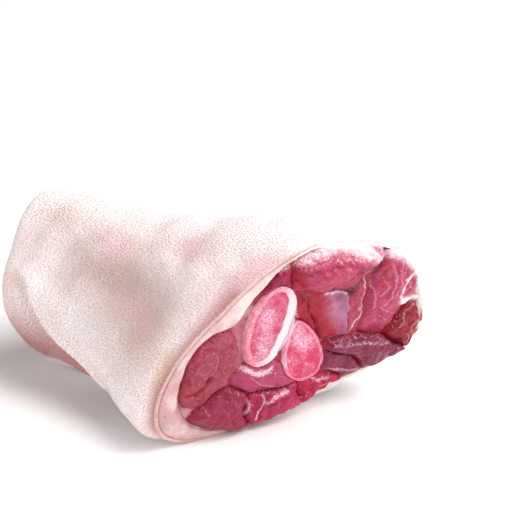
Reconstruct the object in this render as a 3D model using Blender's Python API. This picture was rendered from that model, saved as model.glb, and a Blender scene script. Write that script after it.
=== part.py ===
"""A raw fore hock of pork with its skin on, lying on its side.

The wide end is cut obliquely just below the elbow and shows two bones, the muscles of the
forearm, the fat and the edge of the skin. The narrow end is cut through the wrist, and its skin
rolls round the cut. Skin and fat are one sleeve; every muscle, bone and marrow core runs through
the hock from one cut to the other.

Lengths are in millimetres up to the meshes, which are in metres. X runs from the wrist to the
elbow, -Y is the short side of the oblique cut, and Z is up.
"""

import math
from typing import NamedTuple

import bmesh
import bpy
import numpy as np

MM = 0.001

# Places and slopes of the two cuts
ELBOW_CENTRE = np.array([0.0, 0.0, 49.0])
WRIST_CENTRE = np.array([-145.0, 5.5, 38.0])
ELBOW_CUT_YAW = -35.0
ELBOW_CUT_PITCH = -6.0
WRIST_CUT_YAW = -19.0
WRIST_CUT_PITCH = 20.0
PROUD_YAW = -18.0
PRESSED_FLAT = 2.0

# Edge of the skin at the elbow cut, as (degrees round the cut from the far side, radius)
SKIN_AT_ELBOW = (
    (0, 74), (20, 74), (38, 69), (60, 60), (80, 56), (100, 50), (125, 46.5), (148, 48), (165, 55),
    (182, 66), (200, 79), (211, 82.5), (222, 76), (236, 61), (250, 51.5), (270, 45), (295, 42),
    (318, 51), (335, 64), (348, 73),
)
# Edge of the lean meat and bone at the elbow cut, which the fat surrounds
LEAN_AT_ELBOW = (
    (0, 70), (20, 70), (38, 65.5), (60, 56.5), (80, 52), (93, 48), (105, 43), (117, 38.5),
    (133, 35.5), (149, 34), (157, 37), (164, 46), (172, 52), (182, 57), (194, 62), (204, 66),
    (213, 67), (222, 65), (236, 57.3), (250, 48), (270, 41.3), (295, 38.6), (318, 47.5),
    (335, 60.5), (348, 69.5),
)
# Radius of the skin at the wrist, before its edge rolls in
SKIN_AT_WRIST = (
    (0, 41), (45, 38), (90, 40.5), (135, 40), (180, 40.5), (225, 39.5), (270, 42.5), (315, 42),
)
# What the plain taper between the cuts gains or loses in radius: half way along, just behind the
# elbow cut, and at the knob of the wrist
WAIST = (
    (0, 2), (45, 2), (70, 1), (90, -1), (135, -1), (180, -3), (210, -7), (240, -6), (265, 2),
    (300, 6), (330, 4),
)
SHOULDER = (
    (0, 3), (25, 3), (45, 6), (70, 9), (90, 9), (115, 5), (135, 3), (180, 2), (200, 4), (211, 5),
    (225, 3), (260, 2), (290, 9), (315, 11), (340, 6),
)
KNOB = ((0, 0), (45, 0), (90, 9), (135, -0.5), (180, 2), (215, 1.5), (245, 4.5), (270, 1.5), (315, 0.5))
SHOULDER_RISE = 0.10
SHOULDER_END = 0.50
KNOB_PLACE = 0.92
KNOB_WIDTH = 0.13

SKIN_THICKNESS = 2.4
MOST_SKIN = 0.6
SKIN_EDGE_ROUNDING = 1.8
# The fat's face between the lean meat and the skin: (share of its width, how far it stands out)
FAT_FACE = ((0.0, -1.5), (0.25, 0.5), (0.65, 1.0), (1.0, 0.0))
WRIST_ROLL = 12.0
ROLL_STEPS = (0.35, 0.65, 0.88, 1.0)
WRIST_LEAN_REACH = 25.5
WRIST_CORE_SCALE = 0.5

# Stations along the hock, from 0 at the elbow to 1 at the wrist. The inner ones are shared by
# everything inside the skin, so that neighbours stay clear of each other between stations too.
INNER_STATIONS = (0.17, 0.40, 0.64, 0.85, 1.0)
SKIN_STATIONS = (0.05, 0.10, 0.17, 0.26, 0.36, 0.46, 0.56, 0.66, 0.75)
NEAR = 0.05

GAP = 0.5
FAT_GAP = 0.7
MARROW_GAP = 0.35
BONE_EDGE = 0.3
MARROW_EDGE = 0.6
MARROW_FLAT = 0.6
MOST_SPREAD = 7.0
SKIN_SIDES = 60
MUSCLE_SIDES = 26
OUTLINE_RAYS = 240
MOST_DRAWINGS = 40
DRAWING = 0.99
BONE_SIDES = 24
BAND_PLACE = 268.0
BAND_SPREAD = 62.0


class Muscle(NamedTuple):
    """One muscle as it shows at the elbow cut: an oval place, and the form of its swollen end."""

    name: str
    centre: tuple
    half_length: float
    half_width: float
    turn: float
    rise: float
    lean: tuple
    dome: float
    drop: float


class Bone(NamedTuple):
    """One bone at the elbow cut: an egg outline, its wall, which has a thick band of gristle on one
    side, and how far its sawn end stands out."""

    name: str
    centre: tuple
    half_length: float
    half_width: float
    turn: float
    taper: float
    wall: float
    band: float
    rise: float


BONES = (
    Bone("bone_radius", (-13.4, 10.0), 24.0, 12.6, 75, 0.05, 3.0, 6.4, 0.8),
    Bone("bone_ulna", (6.0, -10.3), 19.8, 10.2, -79, 0.35, 1.8, 1.8, -0.4),
)
MUSCLES = (
    Muscle("muscle_left", (-45, -9), 23.0, 13.1, 67, 1.0, (0.0, 0.03), 1.5, 4.0),
    Muscle("muscle_low_left", (-37, -36), 14.4, 12.8, -82, 2.5, (0.03, -0.05), 2.5, 4.5),
    Muscle("muscle_below_bone", (-17, -23), 18.5, 6.9, -20, 0.5, (0.0, 0.0), 1.8, 3.5),
    Muscle("muscle_bottom", (-12, -37), 17.0, 9.8, 4, 2.0, (0.0, -0.05), 2.2, 4.5),
    Muscle("muscle_bright_end", (14, -34), 9.4, 6.9, 8, 0.0, (0.0, -0.05), 1.4, 3.5),
    Muscle("muscle_top_small", (-8, 39), 9.3, 5.5, 61, -1.0, (0.0, -0.10), 1.4, 3.5),
    Muscle("muscle_top", (19, 38), 22.6, 13.8, -10, 3.5, (0.0, -0.22), 4.2, 6.0),
    Muscle("muscle_centre", (19, 12), 17.8, 10.8, -65, 0.5, (0.16, 0.05), 2.0, 4.5),
    Muscle("muscle_sliver", (9, 12), 18.0, 3.6, -67, -3.0, (0.0, 0.0), 1.0, 2.5),
    Muscle("muscle_groove", (36, 14), 17.9, 7.0, 84, -1.5, (-0.10, -0.03), 1.6, 4.0),
    Muscle("muscle_right", (52, 13), 23.0, 13.2, 73, 0.5, (-0.06, 0.02), 2.2, 4.5),
    Muscle("muscle_right_low", (64, -10), 13.8, 8.8, 69, 0.5, (-0.10, 0.0), 2.0, 4.0),
    Muscle("muscle_roll", (42, -18), 21.5, 5.8, -17, 3.0, (0.0, 0.0), 3.0, 5.0),
    Muscle("muscle_low_small", (26, -22), 9.4, 5.0, -21, 0.5, (0.0, -0.05), 1.6, 3.5),
)
# Rings of a muscle's swollen end: (share of the way out from its centre, share of the edge's drop)
MUSCLE_END = ((0.50, 0.0), (0.78, 0.05), (0.93, 0.34), (1.0, 1.0))

SKIN_COLOUR = (0.84, 0.62, 0.56)
BONE_COLOUR = (0.87, 0.70, 0.69)
MARROW_COLOUR = (0.72, 0.13, 0.20)
MUSCLE_COLOUR = (0.46, 0.07, 0.11)


def unit(vector):
    """A vector, or each of an array of vectors, at length one."""
    return vector / np.linalg.norm(vector, axis=-1, keepdims=True)


def direction(yaw, pitch):
    """The unit vector at these angles, in degrees, from +X: yaw about Z, pitch above the horizontal."""
    y, p = math.radians(yaw), math.radians(pitch)
    return np.array([math.cos(y) * math.cos(p), math.sin(y) * math.cos(p), math.sin(p)])


def eased(x):
    """0 below 0, 1 above 1, and a smooth S between."""
    x = np.clip(x, 0.0, 1.0)
    return x * x * (3.0 - 2.0 * x)


def closed_curve(points):
    """A smooth closed curve through (degrees, radius) points, as a function of the angle in radians."""
    angle = np.radians([p[0] for p in points])
    radius = np.array([p[1] for p in points], float)
    turn = 2.0 * math.pi
    after = np.append(angle[1:], angle[0] + turn)
    before = np.insert(angle[:-1], 0, angle[-1] - turn)
    slope = (np.roll(radius, -1) - np.roll(radius, 1)) / (after - before)

    def radius_at(theta):
        along = np.mod(theta - angle[0], turn)
        i = np.searchsorted(angle - angle[0], along, side="right") - 1
        j = (i + 1) % len(angle)
        span = (after - angle)[i]
        u = (along - (angle[i] - angle[0])) / span
        return (
            radius[i] * (2 * u**3 - 3 * u**2 + 1)
            + slope[i] * span * (u**3 - 2 * u**2 + u)
            + radius[j] * (3 * u**2 - 2 * u**3)
            + slope[j] * span * (u**3 - u**2)
        )

    return radius_at


skin_at_elbow = closed_curve(SKIN_AT_ELBOW)
lean_at_elbow = closed_curve(LEAN_AT_ELBOW)
skin_at_wrist = closed_curve(SKIN_AT_WRIST)
waist = closed_curve(WAIST)
shoulder = closed_curve(SHOULDER)
knob = closed_curve(KNOB)
ELBOW_NORMAL = direction(ELBOW_CUT_YAW, ELBOW_CUT_PITCH)
WRIST_NORMAL = direction(WRIST_CUT_YAW, WRIST_CUT_PITCH)
PROUD = direction(PROUD_YAW, 0.0)


def in_section(t, h, w):
    """The point at h across and w up in the section at station t. All three may be arrays."""
    t = np.asarray(t, float)[..., None]
    centre = ELBOW_CENTRE + (WRIST_CENTRE - ELBOW_CENTRE) * t
    normal = unit(ELBOW_NORMAL * (1.0 - t) + WRIST_NORMAL * t)
    across = unit(np.cross(np.array([0.0, 0.0, 1.0]), normal))
    upward = np.cross(normal, across)
    return centre + np.asarray(h)[..., None] * across + np.asarray(w)[..., None] * upward


def skin_radius(t, theta):
    """Radius of the skin at station t, before the wrist's edge rolls in."""
    taper = skin_at_elbow(theta) * (1.0 - t) + skin_at_wrist(theta) * t
    half_way = np.sin(math.pi * t)
    behind_cut = eased(t / SHOULDER_RISE) * eased((SHOULDER_END - t) / (SHOULDER_END - SHOULDER_RISE))
    at_knob = np.exp(-(((t - KNOB_PLACE) / KNOB_WIDTH) ** 2))
    return taper + waist(theta) * half_way + shoulder(theta) * behind_cut + knob(theta) * at_knob


def inside(t, h, w):
    """Where the fibre that shows at (h, w) on the elbow cut lies at station t."""
    t = np.asarray(t, float)
    theta, radius = np.arctan2(w, h), np.hypot(w, h)
    outer = eased(radius / lean_at_elbow(theta))
    at_wrist = outer * WRIST_LEAN_REACH / skin_at_elbow(theta) + (1.0 - outer) * WRIST_CORE_SCALE
    scale = 1.0 + t * (at_wrist - 1.0)
    return in_section(t, h * scale, w * scale)


def at_depth(h, w, proud):
    """The point this far out of the elbow cut, or into it along its fibre where proud is negative."""
    h, w, proud = (np.array(values, float) for values in np.broadcast_arrays(h, w, proud))
    face = inside(np.zeros_like(h), h, w)
    length = np.linalg.norm(inside(np.full_like(h, NEAR), h, w) - face, axis=-1) / NEAR
    within = inside(np.clip(-proud, 0.0, None) / length, h, w)
    return within + np.clip(proud, 0.0, None)[..., None] * PROUD


def skin_point(t, theta, radius):
    """A point of the sleeve at station t, this far from the hock's centre line."""
    return in_section(t, radius * np.cos(theta), radius * np.sin(theta))


def oval_distance(piece, h, w, taper=0.0):
    """Distance from a muscle's or bone's outline along the ray from its centre, negative inside."""
    turn = math.radians(piece.turn)
    dh, dw = h - piece.centre[0], w - piece.centre[1]
    along = dh * math.cos(turn) + dw * math.sin(turn)
    across = -dh * math.sin(turn) + dw * math.cos(turn)
    width = piece.half_width * (1.0 + taper * np.clip(along / piece.half_length, -1.2, 1.2))
    reach = np.hypot(along / piece.half_length, across / width)
    return np.hypot(dh, dw) * (1.0 - 1.0 / np.maximum(reach, 1e-6))


def wall_thickness(bone, phi):
    """Thickness of the bone's wall at angles round it, from its long axis."""
    off = np.angle(np.exp(1j * (phi - math.radians(BAND_PLACE))))
    return bone.wall + (bone.band - bone.wall) * np.exp(-((off / math.radians(BAND_SPREAD)) ** 2))


def egg_outline(bone, core_gap=None):
    """The bone's outline on the elbow cut, as arrays h and w, or that of its core with a gap round it."""
    phi = np.linspace(0.0, 2.0 * math.pi, BONE_SIDES, endpoint=False)
    inset = 0.0 if core_gap is None else wall_thickness(bone, phi) + core_gap
    turn = math.radians(bone.turn)
    along = (bone.half_length - inset) * np.cos(phi)
    across = (bone.half_width * (1.0 + bone.taper * np.cos(phi)) - inset) * np.sin(phi)
    h = bone.centre[0] + along * math.cos(turn) - across * math.sin(turn)
    w = bone.centre[1] + along * math.sin(turn) + across * math.cos(turn)
    return h, w


def lean_reach(h, w):
    """How far out the sleeve's inside, a ring of straight sides, lies in the direction of (h, w)."""
    side = 2.0 * math.pi / SKIN_SIDES
    theta = np.mod(np.arctan2(w, h), 2.0 * math.pi)
    first = np.floor(theta / side) * side
    near, far = lean_at_elbow(first), lean_at_elbow(first + side)
    crossed = near * np.sin(theta - first) + far * np.sin(first + side - theta)
    return near * far * math.sin(side) / crossed


def is_free(muscle, h, w):
    """Whether points of the elbow cut are this muscle's, clear of bones, fat and other muscles."""
    own = oval_distance(muscle, h, w)
    free = (own < MOST_SPREAD) & (np.hypot(h, w) < lean_reach(h, w) - FAT_GAP)
    for bone in BONES:
        free &= oval_distance(bone, h, w, bone.taper) > GAP
    for other in MUSCLES:
        if other is not muscle:
            free &= own < oval_distance(other, h, w) - GAP
    return free


def muscle_outline(muscle):
    """The muscle's outline on the elbow cut, as offsets from its centre, evenly spaced.

    It spreads from its centre until it is halfway to its neighbour, or meets a bone or the fat.
    Then it is drawn in where a straight side would cut a corner.
    """
    phi = np.linspace(0.0, 2.0 * math.pi, OUTLINE_RAYS, endpoint=False)
    cos, sin = math.cos(math.radians(muscle.turn)), math.sin(math.radians(muscle.turn))
    along, across = muscle.half_length * np.cos(phi), muscle.half_width * np.sin(phi)
    ray = np.stack([along * cos - across * sin, along * sin + across * cos])
    ray /= np.linalg.norm(ray, axis=0)
    steps = np.arange(0.5, muscle.half_length + MOST_SPREAD, 0.05)
    h, w = np.array(muscle.centre)[:, None, None] + steps[:, None] * ray[:, None]
    free = is_free(muscle, h, w)
    first_blocked = np.where(free.all(axis=0), len(steps) - 1, np.argmin(free, axis=0))
    corners = ray * steps[np.maximum(first_blocked - 1, 0)]
    corners = np.append(corners, corners[:, :1], axis=1)
    gone = np.insert(np.cumsum(np.linalg.norm(np.diff(corners, axis=1), axis=0)), 0, 0.0)
    places = np.linspace(0.0, gone[-1], MUSCLE_SIDES, endpoint=False)
    outline = np.stack([np.interp(places, gone, corners[0]), np.interp(places, gone, corners[1])])
    for _ in range(MOST_DRAWINGS):
        h, w = np.array(muscle.centre)[:, None] + (outline + np.roll(outline, -1, axis=1)) / 2
        cutting = ~is_free(muscle, h, w)
        outline[:, cutting | np.roll(cutting, 1)] *= DRAWING
    return outline


def add_object(name, rings, colour, roughness, closed_round=False):
    """Lofts rings of points into one solid object with its own material.

    The rings run from the elbow's side to the wrist's, each turning the same way. A ring of one
    point closes an end; with closed_round the last ring joins the first, as in a sleeve.
    """
    mesh_data = bmesh.new()
    rows = [[mesh_data.verts.new(point * MM) for point in ring] for ring in rings]
    pairs = list(zip(rows, rows[1:])) + ([(rows[-1], rows[0])] if closed_round else [])
    for near, far in pairs:
        sides = max(len(near), len(far))
        for i in range(sides):
            j = (i + 1) % sides
            corners = [near[i % len(near)], near[j % len(near)], far[j % len(far)], far[i % len(far)]]
            mesh_data.faces.new(dict.fromkeys(corners))
    bmesh.ops.triangulate(mesh_data, faces=mesh_data.faces)
    bmesh.ops.recalc_face_normals(mesh_data, faces=mesh_data.faces)
    mesh = bpy.data.meshes.new(name)
    mesh_data.to_mesh(mesh)
    mesh_data.free()
    mesh.shade_smooth()
    mesh.set_sharp_from_angle(angle=math.radians(50))
    material = bpy.data.materials.new(name)
    material.use_nodes = True
    shader = material.node_tree.nodes["Principled BSDF"]
    shader.inputs["Base Color"].default_value = (*colour, 1.0)
    shader.inputs["Roughness"].default_value = roughness
    shader.inputs["Metallic"].default_value = 0.0
    mesh.materials.append(material)
    piece = bpy.data.objects.new(name, mesh)
    hock.objects.link(piece)
    return piece


def lowest_height():
    """Height of the skin's lowest point before the hock rests on it."""
    theta, t = np.meshgrid(
        np.linspace(0.0, 2.0 * math.pi, SKIN_SIDES, endpoint=False), (0.0, *SKIN_STATIONS, KNOB_PLACE)
    )
    return skin_point(t, theta, skin_radius(t, theta))[..., 2].min()


def build_sleeve():
    """The skin with the fat under it: a tapered sleeve, open at both cuts.

    Its underside is pressed flat where the hock's weight rests on it.
    """
    theta = np.linspace(0.0, 2.0 * math.pi, SKIN_SIDES, endpoint=False)
    cos, sin = np.cos(theta), np.sin(theta)
    lean, skin = lean_at_elbow(theta), skin_at_elbow(theta)
    none = np.zeros_like(theta)
    side = skin_point(none + NEAR, theta, skin_radius(NEAR, theta)) - skin_point(none, theta, skin)
    length = np.linalg.norm(side, axis=-1) / NEAR
    fat = skin - lean
    flat_height = lowest_height() + PRESSED_FLAT

    def on_cut(share, proud):
        radius = lean + fat * share
        return at_depth(radius * cos, radius * sin, none + proud)

    def on_skin(t, radius):
        ring = skin_point(t, theta, radius)
        ring[:, 2] = np.maximum(ring[:, 2], flat_height)
        return ring

    skin_line = 1.0 - np.minimum(SKIN_THICKNESS / fat, MOST_SKIN)
    rings = [on_cut(skin_line * share, proud) for share, proud in FAT_FACE]
    rings.append(on_skin(none, skin - SKIN_EDGE_ROUNDING / 2))
    edge = SKIN_EDGE_ROUNDING / length
    rings.append(on_skin(edge, skin_radius(edge, theta)))
    roll_start = 1.0 - WRIST_ROLL / length
    for station in SKIN_STATIONS:
        t = none + station * roll_start / SKIN_STATIONS[-1]
        rings.append(on_skin(t, skin_radius(t, theta)))
    for step in ROLL_STEPS:
        turn = step * math.pi / 2
        t = roll_start + (1.0 - roll_start) * math.sin(turn)
        radius = skin_radius(t, theta) - WRIST_ROLL * (1.0 - math.cos(turn))
        rings.append(on_skin(t, radius))
    for station in reversed(INNER_STATIONS):
        rings.append(inside(none + station, lean * cos, lean * sin))
    return add_object("rind_and_fat", rings, SKIN_COLOUR, 0.42, closed_round=True)


def build_muscle(muscle):
    """One muscle from its swollen end at the elbow to its plain end at the wrist."""
    outline = muscle_outline(muscle)
    centre = np.array(muscle.centre, float)[:, None]
    rings = [at_depth(centre[0], centre[1], np.array([muscle.rise + muscle.dome]))]
    for share, fallen in MUSCLE_END:
        out = outline * share
        proud = muscle.rise + muscle.lean[0] * out[0] + muscle.lean[1] * out[1]
        proud = proud + muscle.dome * (1.0 - share**2) - muscle.drop * fallen
        rings.append(at_depth(centre[0] + out[0], centre[1] + out[1], proud))
    h, w = centre + outline
    for station in INNER_STATIONS:
        rings.append(inside(np.full_like(h, station), h, w))
    rings.append(inside(np.array([1.0]), centre[0], centre[1]))
    return add_object(muscle.name, rings, MUSCLE_COLOUR, 0.3)


def build_bone(bone):
    """The hard wall of one bone, a tube from cut to cut."""
    outer_h, outer_w = egg_outline(bone)
    inner_h, inner_w = egg_outline(bone, core_gap=0.0)
    rings = [at_depth(inner_h, inner_w, bone.rise), at_depth(outer_h, outer_w, bone.rise - BONE_EDGE)]
    for station in INNER_STATIONS:
        rings.append(inside(np.full_like(outer_h, station), outer_h, outer_w))
    for station in reversed(INNER_STATIONS):
        rings.append(inside(np.full_like(inner_h, station), inner_h, inner_w))
    return add_object(bone.name, rings, BONE_COLOUR, 0.4, closed_round=True)


def build_marrow(bone):
    """The spongy core of one bone."""
    h, w = egg_outline(bone, core_gap=MARROW_GAP)
    centre = np.array(bone.centre, float)[:, None]
    flat_h, flat_w = centre + (np.stack([h, w]) - centre) * MARROW_FLAT
    rings = [
        at_depth(centre[0], centre[1], bone.rise),
        at_depth(flat_h, flat_w, bone.rise),
        at_depth(h, w, bone.rise - MARROW_EDGE),
    ]
    for station in INNER_STATIONS:
        rings.append(inside(np.full_like(h, station), h, w))
    rings.append(inside(np.array([1.0]), centre[0], centre[1]))
    return add_object(bone.name.replace("bone", "marrow"), rings, MARROW_COLOUR, 0.5)


def stand_on_origin(pieces):
    """Moves the meshes so that the middle of the underside of the whole hock's box is at the origin."""
    corners = np.array([vertex.co for piece in pieces for vertex in piece.data.vertices])
    low, high = corners.min(axis=0), corners.max(axis=0)
    shift = -np.array([(low[0] + high[0]) / 2, (low[1] + high[1]) / 2, low[2]])
    for piece in pieces:
        for vertex in piece.data.vertices:
            vertex.co = np.array(vertex.co) + shift
        piece.data.update()


for old in list(bpy.data.objects):
    bpy.data.objects.remove(old)
hock = bpy.data.collections.new("pork_hock")
bpy.context.scene.collection.children.link(hock)
parts = [build_sleeve()]
for each_bone in BONES:
    parts.append(build_bone(each_bone))
    parts.append(build_marrow(each_bone))
for each_muscle in MUSCLES:
    parts.append(build_muscle(each_muscle))
stand_on_origin(parts)
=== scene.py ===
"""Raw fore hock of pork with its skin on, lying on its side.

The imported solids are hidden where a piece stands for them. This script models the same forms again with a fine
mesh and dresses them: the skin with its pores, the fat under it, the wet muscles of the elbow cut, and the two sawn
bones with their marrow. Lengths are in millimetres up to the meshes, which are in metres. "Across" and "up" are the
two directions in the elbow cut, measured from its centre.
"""

import logging
import math
from abc import ABC, abstractmethod
from dataclasses import dataclass
from enum import Enum

import bpy
import numpy as np
from mathutils import Matrix


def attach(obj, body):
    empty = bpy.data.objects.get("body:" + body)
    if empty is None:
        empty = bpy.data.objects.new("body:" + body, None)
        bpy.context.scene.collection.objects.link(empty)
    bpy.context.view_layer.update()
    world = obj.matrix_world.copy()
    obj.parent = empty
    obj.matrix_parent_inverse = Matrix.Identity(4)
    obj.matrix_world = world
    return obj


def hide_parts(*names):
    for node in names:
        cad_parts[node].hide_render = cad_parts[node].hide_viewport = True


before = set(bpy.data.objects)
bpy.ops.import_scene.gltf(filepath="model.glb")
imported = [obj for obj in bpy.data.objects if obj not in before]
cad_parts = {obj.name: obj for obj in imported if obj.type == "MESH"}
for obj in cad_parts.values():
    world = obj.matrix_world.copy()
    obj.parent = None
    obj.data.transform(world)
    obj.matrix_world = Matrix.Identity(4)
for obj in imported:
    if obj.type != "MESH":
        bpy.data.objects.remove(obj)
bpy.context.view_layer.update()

MM = 0.001
FULL_TURN = 2.0 * math.pi
QUARTER_TURN = 0.5 * math.pi
# What the way from cut to cut, and a degree round the hock, come to on its skin, in millimetres
SKIN_LENGTH = 150.0
SKIN_DEGREE = 0.85
log = logging.getLogger("hock")

Colour = tuple[float, float, float, float]
Places = tuple[tuple[float, float], ...]
Patches = tuple[tuple[float, float, float, float], ...]
Socket = bpy.types.NodeSocket
Inputs = dict[int | str, Socket | float | tuple[float, ...]]


def linear(code: str) -> Colour:
    """Turns an sRGB hex colour into linear light.

    Args:
        code: six hex digits, with or without a leading #.

    Returns:
        Linear red, green and blue, and an alpha of 1.
    """
    digits = code.lstrip("#")
    parts = [int(digits[i : i + 2], 16) / 255.0 for i in (0, 2, 4)]
    red, green, blue = (p / 12.92 if p <= 0.04045 else ((p + 0.055) / 1.055) ** 2.4 for p in parts)
    return red, green, blue, 1.0


def add_node(
    tree: bpy.types.NodeTree, kind: str, inputs: Inputs | None = None, **settings: str | bool
) -> bpy.types.Node:
    """Adds a node with its settings, values and links.

    Args:
        tree: the node tree it goes into.
        kind: the node's type name.
        inputs: input names or numbers, each with a value or the socket that feeds it.
        **settings: the node's own properties.

    Returns:
        The new node.
    """
    node = tree.nodes.new(kind)
    for name, value in settings.items():
        setattr(node, name, value)
    for key, value in (inputs or {}).items():
        if isinstance(value, Socket):
            tree.links.new(value, node.inputs[key])
        else:
            node.inputs[key].default_value = value
    return node


def unit(vector: np.ndarray) -> np.ndarray:
    """Returns a vector, or each of an array of vectors, at length one."""
    return vector / np.linalg.norm(vector, axis=-1, keepdims=True)


def direction(yaw: float, pitch: float) -> np.ndarray:
    """Returns the unit vector at a yaw about Z and a pitch above the horizontal, in degrees from +X."""
    y, p = math.radians(yaw), math.radians(pitch)
    return np.array([math.cos(y) * math.cos(p), math.sin(y) * math.cos(p), math.sin(p)])


def eased(x: np.ndarray) -> np.ndarray:
    """Returns 0 below 0, 1 above 1, and a smooth S between."""
    x = np.clip(x, 0.0, 1.0)
    return x * x * (3.0 - 2.0 * x)


def angle_from(angle: np.ndarray, degrees: float) -> np.ndarray:
    """Returns how far angles are from a direction in degrees, in radians from minus to plus half a turn."""
    return np.angle(np.exp(1j * (angle - math.radians(degrees))))


def on_axes(h: np.ndarray, w: np.ndarray, centre: tuple[float, float], turn: float) -> tuple[np.ndarray, np.ndarray]:
    """Measures places of the cut on turned axes.

    Args:
        h: the places across.
        w: the places up.
        centre: where the axes cross.
        turn: how far they are turned, in degrees.

    Returns:
        The places along and across the turned axes.
    """
    cos, sin = math.cos(math.radians(turn)), math.sin(math.radians(turn))
    dh, dw = h - centre[0], w - centre[1]
    return dh * cos + dw * sin, -dh * sin + dw * cos


def bump_at(h: np.ndarray, w: np.ndarray, place: tuple[float, float], size: tuple[float, float]) -> np.ndarray:
    """Returns a smooth patch of height one at a place, of this size in the two directions."""
    return np.exp(-(((h - place[0]) / size[0]) ** 2) - ((w - place[1]) / size[1]) ** 2)


def patches_at(h: np.ndarray, w: np.ndarray, patches: Patches) -> np.ndarray:
    """Returns how strongly smooth patches show, each given by its place and its size in the two directions."""
    return sum(bump_at(h, w, (across, up), (wide, high)) for across, up, wide, high in patches)


def distance_to_path(h: np.ndarray, w: np.ndarray, path: Places) -> np.ndarray:
    """Measures how far points of the cut lie from a line of straight stretches.

    Args:
        h: the points' places across.
        w: the points' places up.
        path: the corners of the line.

    Returns:
        The distance of each point, in millimetres.
    """
    nearest = np.full(np.shape(h), np.inf)
    for (h0, w0), (h1, w1) in zip(path, path[1:]):
        dh, dw = h1 - h0, w1 - w0
        share = np.clip(((h - h0) * dh + (w - w0) * dw) / (dh * dh + dw * dw), 0.0, 1.0)
        nearest = np.minimum(nearest, np.hypot(h - h0 - share * dh, w - w0 - share * dw))
    return nearest


@dataclass(frozen=True)
class Waves:
    """Smooth uneven relief: many plane waves of one rough size in random directions."""

    size: float
    height: float
    seed: int
    count: int = 20

    def at(self, points: np.ndarray) -> np.ndarray:
        """Gives the relief at points.

        Args:
            points: their places in millimetres, as an array whose last axis is x, y, z.

        Returns:
            Heights in millimetres, about as often below zero as above.
        """
        draw = np.random.default_rng(self.seed)
        ways = unit(draw.normal(size=(self.count, 3)))
        pitches = self.size * draw.uniform(0.75, 1.5, self.count)
        phases = draw.uniform(0.0, FULL_TURN, self.count)
        total = np.zeros(points.shape[:-1])
        for way, pitch, phase in zip(ways, pitches, phases):
            total += np.sin(points @ way * (FULL_TURN / pitch) + phase)
        return self.height * total / math.sqrt(self.count / 2.0)


@dataclass(frozen=True)
class ClosedCurve:
    """A smooth closed curve through (degrees, radius) points."""

    points: Places

    def at(self, theta: np.ndarray) -> np.ndarray:
        """Gives the radius at angles.

        Args:
            theta: angles in radians.

        Returns:
            The curve's radius at each angle.
        """
        angle = np.radians([p[0] for p in self.points])
        radius = np.array([p[1] for p in self.points], float)
        after = np.append(angle[1:], angle[0] + FULL_TURN)
        before = np.insert(angle[:-1], 0, angle[-1] - FULL_TURN)
        slope = (np.roll(radius, -1) - np.roll(radius, 1)) / (after - before)
        along = np.mod(theta - angle[0], FULL_TURN)
        i = np.searchsorted(angle - angle[0], along, side="right") - 1
        j = (i + 1) % len(angle)
        span = (after - angle)[i]
        u = (along - (angle[i] - angle[0])) / span
        return (
            radius[i] * (2 * u**3 - 3 * u**2 + 1)
            + slope[i] * span * (u**3 - 2 * u**2 + u)
            + radius[j] * (3 * u**2 - 2 * u**3)
            + slope[j] * span * (u**3 - u**2)
        )


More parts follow.
